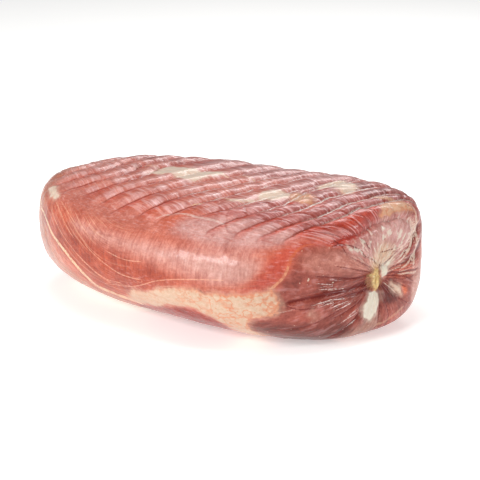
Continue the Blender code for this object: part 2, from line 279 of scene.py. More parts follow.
# Patches of fat: colour's name, chart and outline
FAT_PATCHES = (
    ("fat_cream", "skin", ((98, 117), (106, 111), (120, 112), (133, 116), (135, 120), (123, 121),
        (107, 121))),
    ("fat_cream", "skin", ((159, 24), (155, 7), (159, -2), (175, -4), (192, -6), (208, -4),
        (218, -10), (222, -2), (219, 5), (222, 16), (223, 28), (213, 30), (202, 28), (194, 22),
        (184, 22), (178, 28), (168, 27))),
    ("fat_cream", "skin", ((296, 62), (305, 53), (310, 45), (304, 32), (300, 19), (304, 12),
        (314, 13), (325, 20), (328, 31), (328, 41), (326, 47), (316, 45), (310, 53), (305, 60))),
    ("fat_brown", "skin", ((322, 22), (322, 11), (324, 5), (333, 7), (345, 16), (352, 29),
        (350, 36), (340, 31), (332, 28))),
    ("fat_cream", "skin", ((319, -15), (315, -31), (313, -44), (322, -47), (333, -44), (342, -38),
        (348, -28), (348, -18), (340, -19), (329, -23), (324, -19))),
    ("fat_orange", "skin", ((394, -18), (386, -31), (385, -43), (387, -57), (393, -68), (400, -77),
        (402, -66), (400, -50), (402, -35), (406, -22), (404, -13))),
    ("fat_strip", "skin", ((234, 202), (247, 191), (258, 184), (271, 180), (285, 176), (294, 173),
        (304, 171), (314, 169), (323, 168), (330, 169), (338, 170), (346, 170), (353, 170),
        (361, 168), (369, 167), (376, 164), (380, 160), (382, 171), (384, 175), (384, 180),
        (381, 188), (376, 192), (369, 194), (362, 197), (355, 203), (351, 221), (352, 229),
        (346, 250), (330, 262), (318, 270), (322, 240), (331, 219), (329, 208), (324, 200),
        (318, 194), (311, 190), (300, 191), (281, 196), (263, 205), (248, 209), (239, 206),
        (229, 208))),
    ("fat_white", "end", ((8, -15), (1, -15), (-4, -18), (-4, -23), (-1, -30), (4, -36), (9, -40),
        (14, -38), (18, -32), (16, -24), (12, -18))),
    ("fat_yellow", "end", ((5, 6), (1, 7), (-2, 3), (-4, -4), (-3, -11), (1, -14), (6, -9), (8, -3),
        (6, 1))),
    ("fat_white", "end", ((-4, 6), (-9, 8), (-16, 9), (-12, 3), (-11, -1), (-6, -3), (-3, 0))),
    ("fat_cream", "end", ((-15, -10), (-21, -12), (-27, -15), (-29, -21), (-30, -26), (-24, -23),
        (-20, -17))),
    ("fat_pink", "end", ((68, -21), (65, -19), (62, -22), (61, -28), (62, -31), (65, -27))),
    ("fat_strip", "skin", ((80, 250), (110, 238), (150, 236), (190, 244), (210, 262), (190, 280),
        (150, 286), (110, 280), (86, 268))),
    ("fat_strip", "skin", ((120, -190), (150, -182), (200, -186), (262, -180), (310, -196),
        (322, -224), (290, -244), (230, -238), (170, -244), (130, -226))),
)

# Thin lines of fat and pale sinew: half width at each end, colour's name, chart and line
THREADS = (
    (0.3, 0.9, "fat_line", "skin", ((44, 112), (58, 122), (78, 130), (100, 137))),
    (0.9, 1.8, "fat_line", "skin", ((100, 137), (102, 140), (116, 141), (127, 146), (136, 151),
        (144, 156), (154, 159), (166, 163), (178, 169))),
    (1.8, 4.6, "fat_line", "skin", ((178, 169), (186, 175), (192, 183), (195, 190), (198, 198),
        (206, 201), (216, 204), (228, 208), (240, 212))),
    (0.35, 0.5, "fat_line", "skin", ((137, 188), (154, 189), (165, 193), (172, 197), (181, 202))),
    (0.3, 0.5, "band_line", "skin", ((130, 127), (143, 137), (155, 144), (168, 152), (183, 159),
        (196, 166), (207, 172), (216, 179), (225, 184))),
    (0.3, 0.4, "band_line", "skin", ((139, 125), (157, 132), (169, 140), (183, 148))),
    (0.3, 0.4, "band_line", "skin", ((147, 122), (164, 128), (180, 135))),
    (0.3, 0.4, "band_line", "skin", ((192, 163), (205, 170), (214, 176), (224, 182), (239, 181))),
    (0.3, 0.5, "band_line", "skin", ((202, 152), (216, 159), (226, 164), (236, 168), (250, 171),
        (267, 170))),
    (0.3, 0.4, "band_line", "skin", ((231, 153), (242, 155), (253, 156), (268, 154))),
    (0.3, 0.5, "band_line", "skin", ((217, 188), (230, 186), (243, 184), (257, 180), (271, 174),
        (284, 168), (295, 165), (308, 162), (328, 159), (345, 157))),
    (0.6, 1.5, "sinew", "skin", ((265, 110), (270, 104), (279, 101), (289, 100), (300, 101),
        (309, 101))),
    (1.3, 0.6, "sinew", "skin", ((309, 102), (321, 102), (334, 104))),
    (0.5, 0.9, "fat_line", "skin", ((277, 80), (279, 71), (283, 60), (295, 59), (306, 60))),
    (0.9, 1.1, "border_orange", "skin", ((399, 117), (395, 121), (393, 126), (391, 134),
        (390, 141))),
    (0.7, 1.0, "border_cream", "skin", ((390, 141), (389, 147), (387, 153), (384, 157),
        (381, 161))),
    (0.3, 0.4, "sinew", "skin", ((365, 192), (379, 190), (388, 188))),
    (0.5, 0.7, "fat_line", "skin", ((130, 12), (142, 6), (157, 3))),
    (0.6, 0.4, "fat_line", "skin", ((220, -2), (236, -8), (252, -10), (262, -6))),
    # Fold lines: painted glints, near-white streaks on the crests of the raised folds
    (0.1, 0.3, "fold", "end", ((63, 6), (56, 4), (52, 3))),
    (0.3, 0.1, "fold", "end", ((59, 0), (53, -1), (46, -2))),
    (0.1, 0.3, "fold", "end", ((52, -3.4), (46, -3.6), (37, -4.2))),
    (0.2, 0.4, "fold", "end", ((64, -13), (58, -12), (52, -11.5))),
    (0.4, 0.1, "fold", "end", ((49, -12), (43, -13), (37, -13.5))),
    (0.1, 0.4, "fold", "end", ((60, -16), (54, -15), (49, -15))),
    (0.4, 0.1, "fold", "end", ((47, -18.5), (41, -17), (34, -16))),
    (0.1, 0.4, "fold", "end", ((45, -22), (36, -20), (31, -18.5))),
    (0.1, 0.4, "fold", "end", ((38, -35), (31, -31), (26, -30))),
    (0.1, 0.3, "fold", "end", ((34, -32), (30, -28), (25, -26))),
    (0.1, 0.24, "fold", "end", ((32, -43), (29, -40), (26, -38))),
    (1.6, 1.4, "fold_band", "end", ((-46, 1), (-51, 12), (-52, 26), (-51, 38), (-52, 50))),
    (0.8, 2.0, "fold_band", "end", ((-25, 7), (-33, 12), (-40, 17), (-46, 26), (-48, 35))),
    (0.6, 1.3, "fold_band", "end", ((-30, 1), (-38, 3), (-46, 8), (-54, 18))),
    (0.5, 1.0, "fold_band", "end", ((-28, -5), (-38, -6), (-50, -9))),
    (0.5, 0.5, "fold_band", "end", ((-8, 5), (-15, 11), (-21, 15), (-30, 18))),
    (0.6, 1.6, "fold_band", "end", ((-18, 20), (-30, 21), (-38, 25), (-43, 31), (-44, 40))),
    (0.3, 0.5, "fold_band", "end", ((-9, -9), (-16, -15), (-21, -20))),
    (0.3, 0.7, "fold_band", "end", ((2, 22), (1, 14), (0, 8))),
    (0.3, 0.7, "fold_band", "end", ((-8, 25), (-5, 17), (-2, 8))),
    (0.3, 0.7, "fold_band", "end", ((-17, 24), (-12, 16), (-6, 7))),
    (0.3, 0.6, "fold_band", "end", ((10, 19), (7, 13), (3, 7))),
    (0.3, 0.5, "fold_band", "end", ((-25, 2), (-18, 1), (-11, 1))),
    (0.4, 0.4, "fold_band", "end", ((21, 36), (16, 30), (12, 25))),
    (1.5, 1.6, "fat_brown", "end", ((-3, -49), (-13, -47), (-23, -42), (-32, -38))),
    (0.8, 0.9, "fat_orange", "end", ((-31, 62), (-39, 60), (-47, 57), (-51, 52), (-51, 44))),
    (0.8, 0.8, "sinew", "skin", ((374, -35), (369, -50), (371, -62))),
    (0.4, 0.5, "vein", "skin", ((356, 166), (359, 173), (359, 182), (352, 192))),
    (0.4, 0.5, "vein", "skin", ((331, 174), (339, 176), (346, 178))),
    (0.4, 0.5, "vein", "skin", ((369, 169), (373, 176))),
    (0.5, 0.5, "vein", "skin", ((333, 192), (338, 200), (340, 212))),
    (0.4, 0.5, "vein", "skin", ((359, 182), (363, 191), (369, 195))),
    (1.6, 0.8, "low_brown", "skin", ((344, 203), (338, 215), (334, 232), (327, 248))),
    (0.7, 1.3, "low_brown", "skin", ((352, 212), (346, 226), (341, 242), (333, 256))),
    (0.5, 0.7, "low_brown", "skin", ((330, 203), (333, 213), (330, 226))),
    (1.1, 1.0, "speck_brown", "skin", ((329, 169), (332, 172), (331, 174))),
    (0.7, 0.6, "speck_black", "skin", ((160, 1), (161, -3))),
)

# Middle line of the muscle's grain along the front, on the skin chart
GRAIN_LINE = ((0, 60), (100, 110), (130, 127), (168, 150), (207, 172), (232, 182), (271, 178),
    (345, 160), (460, 150))
CREASE_SOFTNESS = 0.7        # added to the half width of a narrow crease or fold in the relief
FOLD_SOFTNESS = 0.5
FOLD_HEIGHT = 0.5

# How strongly the veins show in each fat, and how strongly each thin line covers the lean
FAT_VEINS = {"fat_strip": 1.0, "fat_orange": 0.8, "fat_cream": 0.25, "fat_brown": 0.8}
THREAD_STRENGTH = 0.85
THREAD_STRENGTHS = {"sinew": 0.4, "band_line": 0.55, "border_orange": 0.6, "border_cream": 0.6,
                    "fold": 0.75, "fold_band": 0.72, "vein": 0.6, "fat_brown": 0.5,
                    "low_brown": 0.75}
FAR_AWAY = 60.0              # millimetres, further than any line or patch reaches
OFF_CHART = 40.0             # added to a distance where its chart doesn't hold

# Patterns of the meat: where they are laid, the width of a patch in millimetres, how much
# finer detail they hold, and how they are drawn out
PATTERNS = {
    "clouds": ("body", 22.0, 3.0, (1.0, 1.0, 1.0)),         # slow changes of colour
    "mottle": ("body", 4.0, 4.0, (1.0, 1.0, 1.0)),          # blotches
    "grain": ("body", 1.6, 3.0, (1.0, 1.0, 1.0)),           # bundles of fibre, cut across
    "fibre": ("skin", 2.0, 3.0, (0.34, 1.0, 1.0)),          # bundles of fibre along the loaf
    "stripes": ("lay", 2.2, 3.0, (1.0, 0.05, 1.0)),         # muscle that runs along the front
    "fine_stripes": ("lay", 0.9, 2.0, (1.0, 0.06, 1.0)),
    "crossing": ("skin", 2.2, 2.5, (1.0, 0.12, 1.0)),       # streaks over the shoulder
    "strokes": ("stroke", 2.8, 3.0, (1.0, 0.12, 1.0)),      # streaks from mark to mark
    "rays": ("fan", 0.9, 3.0, (1.0, 1.0, 0.30)),            # streaks to the gathered spot
    "flecks": ("fan", 1.1, 3.0, (1.0, 1.0, 0.6)),
    "specks": ("body", 3.2, 1.0, (1.0, 1.0, 1.0)),
    "breaks": ("body", 2.6, 2.0, (1.0, 1.0, 1.0)),          # gaps in the thin lines of fat
    "veins": ("body", 13.0, 2.5, (1.0, 1.0, 1.0)),          # lobes of fat
    "stains": ("body", 9.0, 3.0, (1.0, 1.0, 1.0)),
}
PATTERN_ROUGHNESS = 0.55
FAN_SCALE = 0.012            # metres: a turn round the gathered spot, laid out as a circle
FAN_DRAW = 4000.0            # each millimetre away from it counts for a quarter of one
STROKE_DRAW = 50.0           # the way from mark to mark counts for a fiftieth of a metre
STROKE_SHIFT = 0.05          # metres between the patterns of two ridges

# Fields of the mesh that the meat reads as plain numbers
FIELDS = ("plain", "band", "shoulder", "radial", "ridges", "mark_side", "mark_near",
          "mark_fade", "printed", "border", "border_near", "border_seen", "crease_side",
          "crease_half", "crease_near", "mottled", "end_lean", "thread_side", "thread_half",
          "thread_near", "thread_share", "fat", "veined")

# How each colour is laid over the one below: where its pattern, or its distance in
# millimetres, begins to show, where it is full, and how much of it is laid on
WASHES = {
    "red_fibre": (0.48, 0.32, 0.34),
    "pale_fibre": (0.52, 0.68, 0.24),
    "pale_stripe": (0.50, 0.70, 0.36),
    "film_and_sheen_stroke": (0.50, 0.66, 0.45),
    "pale_ray": (0.54, 0.70, 0.16),
    "groove": (2.0, 0.2, 0.9),
    "border": (2.6, 0.1, 0.6),
    "crease": (0.6, -0.4, 0.85),
    "fleck": (0.54, 0.66, 0.75),
    "speck": (0.735, 0.77, 0.8),
    "thread": (0.35, -0.35, 1.0),
    "halo": (-5.0, 0.5, 0.35),
    "rim": (3.5, 0.0, 0.7),
    "stain": (0.50, 0.68, 0.45),
    "vein": (0.04, 0.0, 0.75),
    "fat_groove_shade": (2.0, 0.2, 0.12),
    "string": (1.5, 0.6, 0.85),
}

# How much each pattern darkens and lightens what it lies on, and the range of its noise
LEAN_SHADES = {"clouds": 0.25, "mottle": 0.20, "grain": 0.14}
FAT_SHADES = {"mottle": 0.14, "grain": 0.10}
STRIPE_SHADE = 0.28
CROSSING_SHADE = 0.20
STROKE_SHADE = 0.32
RAY_SHADE = 0.28
SHADE_RANGE = (0.30, 0.70)
NOISE_MIDDLE = 0.5           # veins run where the noise passes its middle

# How far a line or an edge wanders: the pattern, the range of its noise and millimetres
WANDERS = {
    "mark": ("mottle", 0.2, 0.8, 0.6),
    "border": ("mottle", 0.3, 0.7, 0.8),
    "crease": ("grain", 0.3, 0.7, 0.3),
    "thread": ("grain", 0.2, 0.8, 0.3),
    "fat_edge": ("veins", 0.25, 0.75, 2.6),
    "fat_fringe": ("mottle", 0.25, 0.75, 0.7),
}

# Distance from the middle of a line within which it may show: none, then full, millimetres
NEARNESS = {"mark": (5.0, 3.0), "border": (4.0, 2.5), "crease": (5.0, 3.5),
            "thread": (4.5, 3.0)}
THREAD_BREAKS = (0.36, 0.52, 0.45, 1.0)   # noise range, and how much of a line is left there
STRING_BREAKS = (0.3, 0.6)
FAT_SOLID = (-1.0, 1.2)                   # millimetres over the edge of a patch of fat
FAT_STREAKS = (0.35, 0.5, 0.8, 1.0)

# What raises the grain: pattern, the field that limits it, and how much
BUMPS = (("grain", None, 0.18), ("mottle", None, 0.5), ("crossing", "shoulder", 1.1),
         ("strokes", "ridges", 1.0), ("fine_stripes", "band", 0.5), ("rays", "radial", 1.0))
GRAIN_STRENGTH = 0.8
GRAIN_HEIGHT = 0.0010        # metres, for a full step of the noise
LEAN_ROUGHNESS = (0.2, 0.8, 0.32, 0.46)   # noise range, then roughness at its ends
FAT_ROUGHER = 0.06

# Shine of moist lean and fat, the little light that passes under the skin, and the thin
# clear coat of rendered fat and salt
MEAT_FINISH = {
    "IOR": 1.42, "Specular IOR Level": 0.22, "Subsurface Weight": 0.08,
    "Subsurface Radius": (1.0, 0.35, 0.2), "Subsurface Scale": 0.004, "Coat Weight": 0.52,
    "Coat Roughness": 0.15, "Coat IOR": 1.4}
CARD_FIBRE = 3.0             # millimetres
CARD_SHADE = 0.02

# Each node that the materials use, by a plain name: its type, its settings, the sockets that
# are filled in order, and the output that is passed on
NODES = {
    "field": ("ShaderNodeAttribute", {}, (), "Fac"),
    "colour field": ("ShaderNodeAttribute", {}, (), "Color"),
    "place field": ("ShaderNodeAttribute", {}, (), "Vector"),
    "body": ("ShaderNodeTexCoord", {}, (), "Object"),
    "map": ("ShaderNodeUVMap", {}, (), "UV"),
    "draw out": ("ShaderNodeMapping", {"vector_type": "POINT"}, ("Vector", "Scale"), 0),
    "noise": ("ShaderNodeTexNoise", {"noise_dimensions": "3D"},
              ("Vector", "Scale", "Detail", "Roughness"), 0),
    "step": ("ShaderNodeMapRange", {"interpolation_type": "SMOOTHSTEP"}, (0, 1, 2, 3, 4), 0),
    "lay over": ("ShaderNodeMix", {"data_type": "RGBA"}, (0, 6, 7), 2),
    "soft light": ("ShaderNodeMix", {"data_type": "RGBA", "blend_type": "SOFT_LIGHT"},
                   (0, 6, 7), 2),
    "times": ("ShaderNodeMath", {"operation": "MULTIPLY"}, (0, 1), 0),
    "plus": ("ShaderNodeMath", {"operation": "ADD"}, (0, 1), 0),
    "minus": ("ShaderNodeMath", {"operation": "SUBTRACT"}, (0, 1), 0),
    "times plus": ("ShaderNodeMath", {"operation": "MULTIPLY_ADD"}, (0, 1, 2), 0),
    "size of": ("ShaderNodeMath", {"operation": "ABSOLUTE"}, (0,), 0),
    "bump": ("ShaderNodeBump", {}, ("Height", "Strength", "Distance"), 0),
    "finish": ("ShaderNodeBsdfPrincipled", {}, (), 0),
    "surface": ("ShaderNodeOutputMaterial", {}, ("Surface",), None),
}

# Soft lamps: the power's name, heading and rise in degrees, width and height in metres
LAMPS = {
    "front_lamp": ("key_power", -7.0, 29.0, 0.95, 0.36),
    "side_lamp": ("side_power", 108.0, 24.0, 0.3, 0.3),
    "back_lamp": ("back_power", 200.0, 38.0, 0.9, 0.40),
    "top_lamp": ("top_power", 20.0, 82.0, 0.8, 0.8),
}
LAMP_DISTANCE = 1.6
LAMP_AIM = (0.0, 0.0, 0.06)
CAMERA_HEADING = 38.0        # degrees
CAMERA_RISE = 18.0
CAMERA_AIM = (0.0224, 0.0184, 0.0637)
CAMERA_LENS = 128.6          # millimetres, on a film 36 wide
CAMERA_FILM = 36.0


def linear(sheet_colour):
    """Turn an sRGB hex colour into linear red, green and blue."""
    parts = np.array([int(sheet_colour[place:place + 2], 16) for place in (0, 2, 4)]) / 255.0
    low = parts / 12.92
    high = ((parts + 0.055) / 1.055) ** 2.4
    return tuple(float(part) for part in np.where(parts <= 0.04045, low, high))


def amount_property(name, description, default, **settings):
    """An amount that the user may change, never under nothing."""
    return bpy.props.FloatProperty(name=name, description=description, default=default,
                                   min=0.0, **settings)


def depth_property(name, description, default):
    """A depth in millimetres that the user may change."""
    return amount_property(name, description + ", in millimetres", default)


def colour_property(name, description, sheet_colour):
    """A colour that the user may change, given as sRGB hex."""
    return bpy.props.FloatVectorProperty(name=name, description=description, size=3,
                                         subtype="COLOR", min=0.0, max=1.0,
                                         default=linear(sheet_colour))


length_property = partial(amount_property, unit="LENGTH")
power_property = partial(amount_property, subtype="POWER")


class HamSizes(bpy.types.PropertyGroup):
    """Sizes of the loaf and depths of what is pressed into it."""

    length: length_property("Length", "Plain end to gathered end along the loaf", 0.360)
    height: length_property("Height", "Height of the loaf at the middle", 0.122)
    front_reach: length_property("Front reach", "Long axis to the front side", 0.1285)
    back_reach: length_property("Back reach", "Long axis to the back side", 0.0905)
    sink: length_property("Sink", "How far the underside is pressed flat by the weight", 0.0055)
    pucker_drop: length_property("Gather drop", "Gathered spot under the fullest line", 0.0058)
    mark_depth: depth_property("Net mark depth", "Depth of the net's marks", 2.5)
    dip_depth: depth_property("Dip depth", "Dip along the front edge of the top", 5.0)
    swell: depth_property("Shoulder swell", "How full the front shoulder is", 3.5)
    cell_depth: depth_property("Cell depth", "Scale-like cells between two net marks", 1.3)
    crest_height: depth_property("Crest height", "How far each ridge leans on a mark", 1.3)
    pucker_depth: depth_property("Gather depth", "Hollow round the gathered spot", 3.4)
    knot_height: depth_property("Knot height", "Knot of skin in the gathered spot", 3.4)
    uneven: depth_property("Unevenness", "Slow swells of the whole surface", 0.8)


class HamColours(bpy.types.PropertyGroup):
    """Colours of the lean and of the fat."""

    lean: colour_property("Lean", "Salmon lean of the top and front", "c0634d")
    outer_lean: colour_property("Outer lean", "Paler lean of the plain end", "b26c56")
    orange_band: colour_property("Orange band", "Orange lean between the pale lines", "a5452e")
    valley_red: colour_property("Valley red", "Redder lean along the dip", "bc6f5f")
    # Pale pink of the shoulder, partly a painted highlight
    shoulder_pink_and_highlight: colour_property("Shoulder pink", "Pale pink of the full shoulder", "ca978c")
    deep_orange: colour_property("Deep orange", "Orange red above the strip of fat", "bc604a")
    deep_red: colour_property("Deep red", "Red wedge before the gathered end", "ba5040")
    end_lean: colour_property("End lean", "Browner lean of the gathered end", "98483b")
    end_light: colour_property("End light", "Light brown lean over the gathered spot", "be7868")
    dip_red: colour_property("Dip red", "Bare red lean on top of the gathered end", "b23726")
    mottled_pink: colour_property("Mottled pink", "Pink and white gathered skin", "c38d85")
    mid_pink: colour_property("Middle pink", "Pale pink in front of the last marks", "c08d85")
    top_dark: colour_property("Top dark", "Darker lean of the top's far part", "a4574e")
    far_edge: colour_property("Far edge", "Darker lean along the back edge", "84403a")
    far_red: colour_property("Far red", "Dark red lean before the gathered end", "a8544c")
    lens_red: colour_property("Lens red", "Lean that shows under the strip of fat", "8c1c04")
    back_maroon: colour_property("Back maroon", "Dark lean at the back edge", "7c2c25")
    low_brown: colour_property("Low brown", "Dark lean under the gathered spot", "a85143")
    rim_pale: colour_property("Pale rim", "Thin pale skin at the back corner", "c68a7c")
    # Painted shade along the bottom edge
    bottom_painted_shade: colour_property("Low dark", "Dark lean at the bottom edge", "6c2a20")
    under_gather: colour_property("Under gather", "Pink skin under the knot", "ae7c6c")
    # Laid after each net mark, this orange red is partly painted shade on the flank that leans away
    ridge_flush: colour_property("Ridge flush", "Orange red beside a net mark", "ba4029")
    # Lavender pink of the crests, partly a painted sheen on the flank that faces the lamps
    ridge_pink_and_sheen: colour_property("Ridge bloom", "Lavender pink on the crest", "d2a09b")
    # Pale thin skin, also laid in strokes on the ridges as a painted sheen
    film_and_sheen: colour_property("Film", "Thin pale skin on the ridges", "e8c2c2")
    # Dark red in the bottom of each mark and along the cells' borders, partly painted shade
    groove: colour_property("Groove", "Bottom of a net mark", "8a3323")
    # Dark red in the bottom of each narrow crease, partly painted shade
    crease: colour_property("Crease", "Bottom of a crease at the gathered end", "721710")
    string_print: colour_property("String print", "Grey print that the string left", "cfc0b6")
    fat_cream: colour_property("Cream fat", "Fat on the top", "dcc4b0")
    fat_brown: colour_property("Brown fat", "Thin fat over lean", "cf9d80")
    fat_orange: colour_property("Orange fat", "Fat stained by the lean", "d2a486")
    fat_strip: colour_property("Strip fat", "Fat along the lower front", "cfb198")
    fat_white: colour_property("White fat", "Fat drawn into the gathered spot", "e4d9c7")
    fat_yellow: colour_property("Yellow fat", "Tuft of the gathered spot", "e8c88c")
    fat_pink: colour_property("Pink fat", "Small pale spots", "c89a88")
    fat_line: colour_property("Fat line", "Thin seam of fat", "e8c7a2")
    band_line: colour_property("Band line", "Pale lines in the orange band", "ecb496")
    sinew: colour_property("Sinew", "Thin whitish sinew", "dccabf")
    border_orange: colour_property("Orange border", "Upper border of the end lean", "c9663f")
    border_cream: colour_property("Cream border", "Lower border of the end lean", "e0a47c")
    gather_cream: colour_property("Gather cream", "Creamy skin over the tuft", "dbb8a0")
    right_red: colour_property("Right red", "Red between the folds at the right", "983c30")
    wedge_dark: colour_property("Dark wedge", "Dark red beside the gathered spot", "6c2219")
    spot_red: colour_property("Red spot", "Orange red spot", "d2603a")
    # Painted glints on the crests of the raised folds
    fold: colour_property("Fold", "Dry pale crest of a fold", "fff2ea")
    fold_band: colour_property("Fold band", "Pale skin along a gathered fold", "ecd2be")
    speck_brown: colour_property("Brown speck", "Small brown hole in the fat", "8a3f2c")
    speck_black: colour_property("Dark speck", "Dark speck on the top", "3a2422")
    vein: colour_property("Fat vein", "Orange pink mottling of the fat", "cf7c56")


class HamStage(bpy.types.PropertyGroup):
    """Floor, lamps and camera."""

    floor_size: length_property("Floor size", "Side of the floor", 20.0)
    floor_colour: colour_property("Floor colour", "Pale floor", "f7f6f4")
    world_strength: amount_property("Surround", "Plain light around", 0.26)
    key_power: power_property("Front lamp", "Soft lamp at the front", 16.5)
    back_power: power_property("Back lamp", "Soft lamp at the back", 6.5)
    top_power: power_property("Top lamp", "Soft lamp overhead", 9.0)
    side_power: power_property("Side lamp", "Soft lamp at the side", 5.0)
    floor_glow: amount_property("Floor glow", "Light from the card", 0.42)
    camera_distance: length_property("Camera distance", "From the ham to the camera", 1.6)


def smooth_step(value, none, full):
    """Rise smoothly from 0 to 1 between two values: 3 s squared minus 2 s cubed of the share."""
    share = np.clip((value - none) / (full - none), 0.0, 1.0)
    return share * share * (3.0 - 2.0 * share)


def window(place, name):
    """Product of the smooth steps of a named window."""
    share = 1.0
    for coordinate, none, full in WINDOWS[name]:
        share = share * smooth_step(place[coordinate], none, full)
    return share


def lattice_noise(first, second, seed):
    """Smooth noise from -1 to 1: random heights on a unit lattice, joined by smooth steps."""
    size = NOISE_SIZE
    heights = np.random.default_rng(seed).uniform(-1.0, 1.0, (size, size))
    row = np.floor(first).astype(int)
    column = np.floor(second).astype(int)
    down = smooth_step(first - row, 0.0, 1.0)
    over = smooth_step(second - column, 0.0, 1.0)
    near = (heights[row % size, column % size] * (1.0 - over)
            + heights[row % size, (column + 1) % size] * over)
    far = (heights[(row + 1) % size, column % size] * (1.0 - over)
           + heights[(row + 1) % size, (column + 1) % size] * over)
    return near * (1.0 - down) + far * down


def end_closure(along):
    """Shares of width and height at a place along: both fall as (1 - |a|^n)^(1/n)."""
    reach = np.abs(along)
    plan = np.where(along < 0.0, PLAIN_END_PLAN, DRAWN_END_PLAN)
    side = np.where(along < 0.0, PLAIN_END_SIDE, DRAWN_END_SIDE)
    width = np.clip(1.0 - reach ** plan, 0.0, 1.0) ** (1.0 / plan)
    height = np.clip(1.0 - reach ** side, 0.0, 1.0) ** (1.0 / side)
    return width, height


def loaf_point(sizes, along, turn):
    """Point of the plain loaf from its place along, -1 to 1, and its turn, up at 90 degrees.

    The section is a superellipse, |cos t|^n + |sin t|^n = 1, with its own squareness n in
    each quarter; its width and height close up towards both ends, and its underside is flat
    where the curve would pass below the floor.
    """
    width, height = end_closure(along)
    cosine = np.cos(turn)
    sine = np.sin(turn)
    upper = np.where(cosine < 0.0, TOP_FRONT_SQUARE, TOP_BACK_SQUARE)
    lower = np.where(cosine < 0.0, UNDER_FRONT_SQUARE, UNDER_BACK_SQUARE)
    square = np.where(sine > 0.0, upper, lower)
    round_off = (np.abs(cosine) ** square + np.abs(sine) ** square) ** (-1.0 / square)
    back = sizes.back_reach * (1.0 + BACK_FLARE * along)
    reach = np.where(cosine < 0.0, sizes.front_reach, back)
    waist = WAIST * sizes.height
    rise = np.where(sine > 0.0, (sizes.height - waist) * (1.0 + TOP_FLARE * along),
                    waist + sizes.sink)
    drop = np.where(along > 0.0, (1.0 - height) * sizes.pucker_drop, 0.0)
    y = width * cosine * round_off * reach
    z = waist - drop + height * sine * round_off * rise
    x = along * sizes.length / 2.0 + SKEW * y
    return np.stack(np.broadcast_arrays(x, y, np.maximum(z, 0.0)), axis=-1)


def skin_tables(sizes):
    """Skin distance along the loaf against place, and round the loaf against turn.

    The steps along are close together at both ends, where the loaf closes up fast: place is
    the square root of the sine of an evenly turning angle.
    """
    swing = np.linspace(-pi / 2.0, pi / 2.0, TABLE_STEPS + 1)
    along = np.sign(np.sin(swing)) * np.abs(np.sin(swing)) ** 0.5
    width, height = end_closure(along)
    spread = sizes.front_reach + sizes.back_reach
    radius = (width * spread + height * sizes.height) / 4.0
    steps = np.hypot(np.diff(along) * sizes.length / 2.0, np.diff(radius))
    distance = 1000.0 * np.concatenate(([0.0], np.cumsum(steps)))
    turn = np.linspace(pi / 2.0, 2.5 * pi, 2 * TABLE_STEPS + 1)
    ring = loaf_point(sizes, np.zeros_like(turn), turn)
    steps = np.linalg.norm(np.diff(ring[:, 1:], axis=0), axis=1)
    girth = 1000.0 * np.concatenate(([0.0], np.cumsum(steps)))
    return along, distance, turn, girth


def spaced(knots, gaps):
    """Places from the first knot to the last whose spacing runs between the given gaps."""
    fine = np.linspace(knots[0], knots[-1], FINE_STEPS)
    density = 1.0 / np.interp(fine, knots, gaps)
    total = np.concatenate(([0.0], np.cumsum((density[1:] + density[:-1]) / 2.0
                                             * np.diff(fine))))
    count = int(round(total[-1]))
    return np.interp(np.arange(count + 1) * total[-1] / count, total, fine)


def mark_lines(place):
    """Distance beyond each net mark, d - (place - front run f^2 - back run b^2), and its fade."""
    distance, girth = place["distance"], place["girth"]
    front = np.clip((girth - CROWN_LINE) / MARK_FRONT_SPAN, 0.0, MARK_OVERRUN)
    back = np.clip((CROWN_LINE - girth) / MARK_BACK_SPAN, 0.0, MARK_OVERRUN)
    behind = smooth_step(girth, MARK_BACK_END - MARK_FADE, MARK_BACK_END + MARK_FADE)
    beyond = []
    fades = []
    for crown, front_run, back_run, front_end in NET_MARKS:
        wander = MARK_WANDER * lattice_noise(girth / MARK_WANDER_STEP + crown,
                                             crown + 0.0 * girth, MARK_SEED)
        beyond.append(distance - (crown - front_run * front ** 2 - back_run * back ** 2 + wander))
        fade = smooth_step(girth, front_end + MARK_FADE / 2.0, front_end - MARK_FADE / 2.0)
        fades.append(fade * behind)
    return np.array(beyond), np.array(fades)


def mark_relief(sizes, beyond, fades):
    """Grooves of the net with soft swells between: -depth (1 - distance / reach)^2."""
    swell = np.clip(1.0 - np.abs(beyond) / MARK_REACH, 0.0, 1.0) ** 2
    return np.minimum((-sizes.mark_depth * swell * fades).min(axis=0), 0.0)


def ridge_share(beyond, fades):
    """Share of the way from one net mark to the next, 0 to 1, its number and its strength."""
    share = np.zeros_like(beyond[0])
    number = np.zeros_like(share)
    strength = np.zeros_like(share)
    for place in range(len(beyond) - 1):
        gap = beyond[place] - beyond[place + 1]
        inside = (beyond[place] >= 0.0) & (beyond[place + 1] < 0.0)
        share = np.where(inside, beyond[place] / np.maximum(gap, 1e-6), share)
        number = np.where(inside, place + 1.0, number)
        strength = np.where(inside, np.minimum(fades[place], fades[place + 1]), strength)
    return share, number, strength


def crest_relief(sizes, share, strength):
    """Each ridge leans on the next mark: share^1.5, which falls to 0 just before the mark."""
    fall = 1.0 - smooth_step(share, *CREST_FALL)
    return sizes.crest_height * strength * share ** CREST_POWER * fall


def fine_relief(place):
    """Small dents and swells, 4 to 9 millimetres wide, from layers of lattice noise.

    They fade out towards the plain end's pole, where the chart's lines run together.
    """
    relief = 0.0
    for height, along_step, round_step, shift, seed in FINE_LAYERS:
        relief = relief + height * lattice_noise(place["distance"] / along_step + shift,
                                                 place["girth"] / round_step, seed)
    return relief * window(place, "fine_dents")


def shoulder_relief(sizes, place):
    """Two bell curves round the loaf: a dip at the top's front edge, a swell below it."""
    before = np.clip(DIP_SLANT_END - place["distance"], 0.0, None)
    dip = np.exp(-((place["girth"] - DIP_LINE + DIP_SLANT * before) / DIP_HALF_WIDTH) ** 2)
    swell = np.exp(-((place["girth"] - SHOULDER_LINE) / SHOULDER_HALF_WIDTH) ** 2)
    return window(place, "shoulder_swell") * (sizes.swell * swell - sizes.dip_depth * dip)


